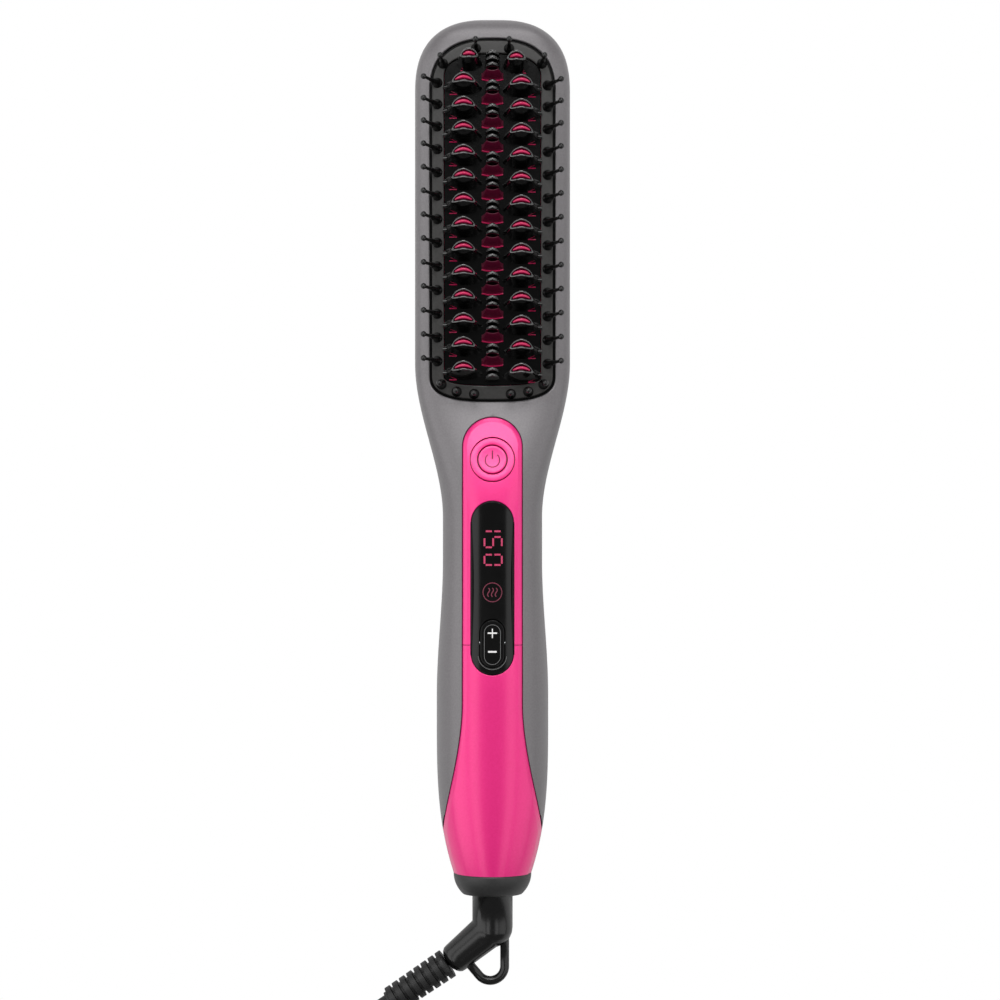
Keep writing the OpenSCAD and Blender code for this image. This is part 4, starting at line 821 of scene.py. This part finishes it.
def bristle(x, y, sideways, forward):
    """Turned profile, leaned about X and then about Y, set on the pad."""
    a, b = math.radians(-forward), math.radians(sideways)
    about_x = np.array([[1, 0, 0], [0, math.cos(a), -math.sin(a)], [0, math.sin(a), math.cos(a)]])
    about_y = np.array([[math.cos(b), 0, math.sin(b)], [0, 1, 0], [-math.sin(b), 0, math.cos(b)]])
    return (spun(bristle_profile, 16) @ (about_y @ about_x).T + [x, y, pad_z], False, RING_COLUMNS)


bristles = make_piece("bristles", [bristle(*place) for place in places], "handle",
    closed=True)
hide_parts("edge_bristles")
print("bristles:", len(places))

# %% [markdown]
# ## Parts that keep their CAD shape
# The end cap, the swivel's elbow, the strain relief and the filler plug have the right form in the CAD.
# A CAD mesh is loose triangles, which look faceted, so each of these gets a copy with its points merged
# and its round faces shaded smooth, while edges sharper than 32 degrees stay crisp.

# %% Smooth copies
slot_of = {part["node"]: part["material_slot"] for part in frame["record"]["subparts"]}


def smooth_copy(node, body):
    """A merged, smooth-shaded copy of a CAD node, which stands for it."""
    mesh = frame["nodes"][node].data.copy()
    work = bmesh.new()
    work.from_mesh(mesh)
    bmesh.ops.remove_doubles(work, verts=work.verts, dist=2e-6)
    work.to_mesh(mesh)
    work.free()
    mesh.shade_smooth()
    mesh.set_sharp_from_angle(angle=math.radians(32))
    piece = bpy.data.objects.new(node + "_smooth", mesh)
    bpy.context.collection.objects.link(piece)
    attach(piece, body)
    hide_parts(node)
    return piece


smooth_parts = {node: smooth_copy(node, body) for node, body in (("end_cap", "handle"),
    ("swivel_elbow", "cord_swivel"), ("strain_relief", "cord_swivel"), ("filler_plug", "filler_plug"))}

# %% [markdown]
# ## Materials
# Each finish is named for the real one. Two helpers keep the node code short: one turns a hex colour into
# the linear values that Blender uses, and one adds a node with its settings and its links.

# %% Colour and node helpers
def linear(code):
    """sRGB hex to linear RGBA, by the standard's curve."""
    channel = np.array([int(code[i : i + 2], 16) for i in (1, 3, 5)]) / 255
    return (*np.where(channel <= 0.04045, channel / 12.92, ((channel + 0.055) / 1.055) ** 2.4), 1.0)


def add_node(tree, kind, links=None, **settings):
    """A node with its sockets and properties set, and links from other nodes' sockets."""
    node = tree.nodes.new(kind)
    for key, value in settings.items():
        if key in node.inputs:
            node.inputs[key].default_value = value
        else:
            setattr(node, key, value)
    for key, source in (links or {}).items():
        tree.links.new(source, node.inputs[key])
    return node


def finish_of(name, tones, grain_mm, bump=0.0, bump_mm=None, rough_span=None, **shader):
    """A material whose colour and roughness wander a little with a noise of a real grain size.

    tones are the darkest and lightest colours. The bump is a second, finer noise, in mm of height."""
    material = bpy.data.materials.new(name)
    material.use_nodes = True
    tree = material.node_tree
    surface = tree.nodes["Principled BSDF"]
    place = add_node(tree, "ShaderNodeTexCoord").outputs["Object"]
    grain = add_node(tree, "ShaderNodeTexNoise", {"Vector": place}, Scale=1 / (grain_mm * MM), Detail=3.0)
    ramp = add_node(tree, "ShaderNodeValToRGB", {"Fac": grain.outputs["Fac"]})
    ramp.color_ramp.elements[0].position, ramp.color_ramp.elements[1].position = 0.3, 0.7
    ramp.color_ramp.elements[0].color, ramp.color_ramp.elements[1].color = linear(tones[0]), linear(tones[1])
    tree.links.new(ramp.outputs["Color"], surface.inputs["Base Color"])
    if rough_span:
        span = add_node(tree, "ShaderNodeMapRange", {"Value": grain.outputs["Fac"]})
        span.inputs["To Min"].default_value, span.inputs["To Max"].default_value = rough_span
        tree.links.new(span.outputs["Result"], surface.inputs["Roughness"])
    if bump:
        fine_noise = add_node(tree, "ShaderNodeTexNoise", {"Vector": place}, Detail=2.0,
            Scale=1 / ((bump_mm or grain_mm) * MM))
        relief = add_node(tree, "ShaderNodeBump", {"Height": fine_noise.outputs["Fac"]}, Strength=1.0,
            Distance=bump * MM)
        tree.links.new(relief.outputs["Normal"], surface.inputs["Normal"])
    for key, value in shader.items():
        surface.inputs[key.replace("_", " ")].default_value = value
    return material


# %% [markdown]
# Paint has a partly metallic base under a thin clear coat, mouldings a fine bump and a roughness that
# wanders, bare metal is fully metallic. The grain is given in millimetres, coarser than that of a real
# moulding, which is finer than a pixel. The coat of the hoods has a high IOR, so that their rims glint.

# %% Finishes
finishes = {
    # Flake and pearl paint on ABS: a broad soft sheen
    "housing_grey": finish_of("metallic_grey_paint", ("#6c696b", "#757274"), 0.6, 0.002, 0.25, (0.38, 0.44),
        Metallic=0.3, Coat_Weight=0.15, Coat_Roughness=0.25),
    "pink_panel": finish_of("pink_pearl_paint", ("#e81c7c", "#ec2282"), 0.7, 0.0015, 0.2, (0.34, 0.4),
        Metallic=0.3, Coat_Weight=0.5, Coat_Roughness=0.22),
    # Baked ceramic coating on cast aluminium: satin, deep pink
    "pink_coating": finish_of("pink_ceramic_coating", ("#b8104c", "#c61a58"), 0.5, 0.002, 0.3, (0.28, 0.36),
        Coat_Weight=0.3, Coat_Roughness=0.15),
    # Mouldings, from the hoods' gloss to the cord's matte PVC, so that neighbours look unlike
    "gloss_black": finish_of("moulded_gloss_nylon", ("#040404", "#080808"), 1.2, 0.001, 0.5, (0.1, 0.15),
        Coat_Weight=1.0, Coat_IOR=1.8, Coat_Roughness=0.06),
    "black_plastic": finish_of("moulded_satin_nylon", ("#060606", "#0c0c0c"), 0.8, 0.002, 0.3, (0.2, 0.28)),
    "dark_plastic": finish_of("satin_grey_abs", ("#302f2e", "#373635"), 0.8, 0.004, 0.25, (0.3, 0.38),
        Specular_IOR_Level=0.35),
    "window_black": finish_of("polished_black_acrylic", ("#040404", "#070707"), 4.0, 0.0, None, (0.12, 0.16),
        Specular_IOR_Level=0.3),
    "cord_rubber": finish_of("matte_pvc_jacket", ("#070707", "#0d0d0d"), 0.5, 0.005, 0.2, (0.42, 0.52)),
    # Bare metals: bright and softly blurred, the casting duller than the plated parts
    "steel": finish_of("nickel_plated_steel", ("#b9bcc0", "#c6c9cc"), 0.5, 0.002, 0.1, (0.2, 0.32),
        Metallic=1.0),
    "brass": finish_of("bare_brass", ("#b8924a", "#c9a35a"), 0.5, 0.002, 0.1, (0.22, 0.35), Metallic=1.0),
    "cast_aluminium": finish_of("cast_aluminium", ("#a9abad", "#bdbfc1"), 0.8, 0.02, 0.4, (0.4, 0.55),
        Metallic=1.0),
    # Insulators inside: dull ceramic, mica and the board's green lacquer
    "ceramic": finish_of("fired_ceramic", ("#cfc9b8", "#dad4c4"), 0.4, 0.006, 0.15, (0.55, 0.7)),
    "mica": finish_of("mica_sheet", ("#a39468", "#c4b88e"), 2.0, 0.004, 0.6, (0.3, 0.5)),
    "board_green": finish_of("green_solder_resist", ("#1c5a31", "#236b3c"), 1.5, 0.003, 0.4, (0.28, 0.4)),
    # Clear and milky plastics let light through, natural nylon and lead jackets don't
    "tank_plastic": finish_of("clear_tank_polycarbonate", ("#dfe6ea", "#e8eef1"), 5.0, 0.001, 1.0,
        (0.1, 0.16), Transmission_Weight=0.7, IOR=1.58),
    "clear_silicone": finish_of("milky_silicone", ("#dde3e6", "#e9eef0"), 1.0, 0.003, 0.4, (0.4, 0.5),
        Transmission_Weight=0.35, IOR=1.41),
    "pale_plastic": finish_of("natural_nylon", ("#d8d5cc", "#e2dfd6"), 0.8, 0.003, 0.3, (0.4, 0.5)),
    "lead_jacket": finish_of("pvc_lead_jacket", ("#6b4630", "#7a5238"), 0.6, 0.003, 0.2, (0.4, 0.5)),
}
# Darker kinds: a black of painted shade for the gap liner and the guard plate, the end cap's own charcoal,
# and a coating darkened as painted shade for the middle fins; then inks, lit signs, grey lines of painted
# highlight and a pink of painted shade for the power sign
painted_shade_black = finish_of("black_nylon_painted_shade", ("#030303", "#060606"), 1.2, 0.001, 0.5, (0.14, 0.2),
    Specular_IOR_Level=0.2)
charcoal = finish_of("moulded_charcoal_abs", ("#212121", "#282828"), 0.7, 0.003, 0.25, (0.4, 0.5))
# The middle fins' wine coating is painted shade: the blades' pink coating, darkened where the fins stand in
# shade.
painted_shade_coating = finish_of("middle_fins_coating_in_painted_shade", ("#5c0c2a", "#6a1234"), 0.5, 0.002, 0.3, (0.3, 0.4))
sign_red = finish_of("lit_red_digits", ("#b8305a", "#c43c66"), 0.8, Roughness=0.4)
sign_white = finish_of("printed_white", ("#d8d6d6", "#e6e4e4"), 0.3, 0.001, 0.1, (0.4, 0.5))
# Grey for the lines round the key: painted highlights of grooves, not print.
painted_highlight_grey = finish_of("grey_painted_highlight", ("#5c5c5c", "#6a6a6a"), 0.3, 0.001, 0.1, (0.4, 0.5))
sign_dim = finish_of("dim_red_icon", ("#5e0e2a", "#741636"), 0.5, 0.001, 0.2, (0.4, 0.5))
# The power sign's darker pink is painted shade of a sunk line; the line itself lies flat just over the dish.
painted_shade_pink = finish_of("power_sign_painted_shade", ("#7c1044", "#86164c"), 0.5, 0.001, 0.2, (0.6, 0.7))

# %% [markdown]
# Every CAD node takes the finish of its slot in the record, and the new pieces take theirs from a table.

# %% Assign the finishes
for name, node_object in frame["nodes"].items():
    node_object.data.materials.clear()
    node_object.data.materials.append(finishes[slot_of[name]])
for node, piece in smooth_parts.items():
    piece.data.materials.clear()
    piece.data.materials.append(charcoal if node == "end_cap" else finishes[slot_of[node]])
for finish, pieces in (
    (finishes["housing_grey"], (front_shell, rear_shell)), (finishes["dark_plastic"], (pad_frame,)),
    (finishes["pink_panel"], (fascia, cover, bezel, button)), (finishes["gloss_black"], (guard, middle)),
    (finishes["pink_coating"], (hot_parts,)), (finishes["black_plastic"], (bristles,)),
    (finishes["window_black"], (window, key)), (finishes["cord_rubber"], (flex,)),
    (painted_shade_coating, (deep_fins,)), (painted_shade_black, (liner, guard_plate)), (painted_shade_pink, (power_sign,)),
    (sign_white, (key_signs,)), (painted_highlight_grey, (key_line, key_rim)), (sign_red, (digits,)),
    (sign_dim, (steam_icon,)),
):
    for piece in pieces:
        piece.data.materials.append(finish)

# %% [markdown]
# ## Studio
# The photograph has a white background, and long soft reflections run down the panels, so two strips
# stand beside the camera. Two large boxes light the rounded sides, and two more, over the head and beyond
# it, light what leans towards the tip. The left lamps are the stronger ones. The world and the floor are
# white to the camera only (the world through clear plastic too); to other rays they are dim and matt.

# %% World, floor and lights
world = bpy.data.worlds.new("studio")
bpy.context.scene.world = world
world.use_nodes = True
tree = world.node_tree
ray = add_node(tree, "ShaderNodeLightPath")
seen = add_node(tree, "ShaderNodeMath",
    {0: ray.outputs["Is Camera Ray"], 1: ray.outputs["Is Transmission Ray"]}, operation="MAXIMUM")
dim = add_node(tree, "ShaderNodeBackground", Color=(1, 1, 1, 1), Strength=0.2)
white = add_node(tree, "ShaderNodeBackground", Color=(1, 1, 1, 1), Strength=1.0)
both = add_node(tree, "ShaderNodeMixShader",
    {0: seen.outputs["Value"], 1: dim.outputs[0], 2: white.outputs[0]})
tree.links.new(both.outputs[0], tree.nodes["World Output"].inputs["Surface"])

floor_mesh = bpy.data.meshes.new("floor")
side_m = 3.0
corners = [(-side_m, -side_m, 0), (side_m, -side_m, 0), (side_m, side_m, 0), (-side_m, side_m, 0)]
floor_mesh.from_pydata(corners, [], [(0, 1, 2, 3)])
floor = bpy.data.objects.new("floor", floor_mesh)
bpy.context.collection.objects.link(floor)
paper = bpy.data.materials.new("white_paper")
paper.use_nodes = True
tree = paper.node_tree
matt = tree.nodes["Principled BSDF"]
matt.inputs["Base Color"].default_value = (0.8, 0.8, 0.8, 1)
matt.inputs["Roughness"].default_value = 0.9
ray = add_node(tree, "ShaderNodeLightPath")
glow = add_node(tree, "ShaderNodeEmission", Color=(1, 1, 1, 1), Strength=1.0)
shown = add_node(tree, "ShaderNodeMixShader",
    {0: ray.outputs["Is Camera Ray"], 1: matt.outputs[0], 2: glow.outputs[0]})
tree.links.new(shown.outputs[0], tree.nodes["Material Output"].inputs["Surface"])
floor_mesh.materials.append(paper)


def softbox(name, place, size, watts):
    """Rectangular lamp at a place, turned to face the brush; sizes in metres."""
    data = bpy.data.lights.new(name, "AREA")
    data.shape, data.size, data.size_y, data.energy = "RECTANGLE", *size, watts
    lamp = bpy.data.objects.new(name, data)
    bpy.context.collection.objects.link(lamp)
    z = np.array(place, float) - lamp_aim
    z /= np.linalg.norm(z)
    x = np.cross([0, 1, 0], z)
    x /= np.linalg.norm(x)
    y = np.cross(z, x)
    matrix = np.eye(4)
    matrix[:3, 0], matrix[:3, 1], matrix[:3, 2], matrix[:3, 3] = x, y, z, place
    lamp.matrix_world = Matrix(matrix.tolist())


lamp_aim = np.array([0, 0, 0.02])
for name, place, size, watts in (
    ("strip_left", (-0.42, 0.0, 0.9), (0.3, 1.5), 2.4), ("strip_right", (0.42, 0.0, 0.9), (0.3, 1.5), 1.9),
    ("side_left", (-1.0, 0.0, 0.55), (0.9, 1.6), 6.5), ("side_right", (1.0, 0.0, 0.55), (0.9, 1.6), 4.2),
    ("head_box", (0, 0.45, 0.88), (0.55, 0.22), 2.6), ("far_box", (0, 1.2, 0.75), (0.9, 0.5), 5.0),
):
    softbox(name, place, size, watts)
bpy.context.scene.view_settings.view_transform = "Standard"
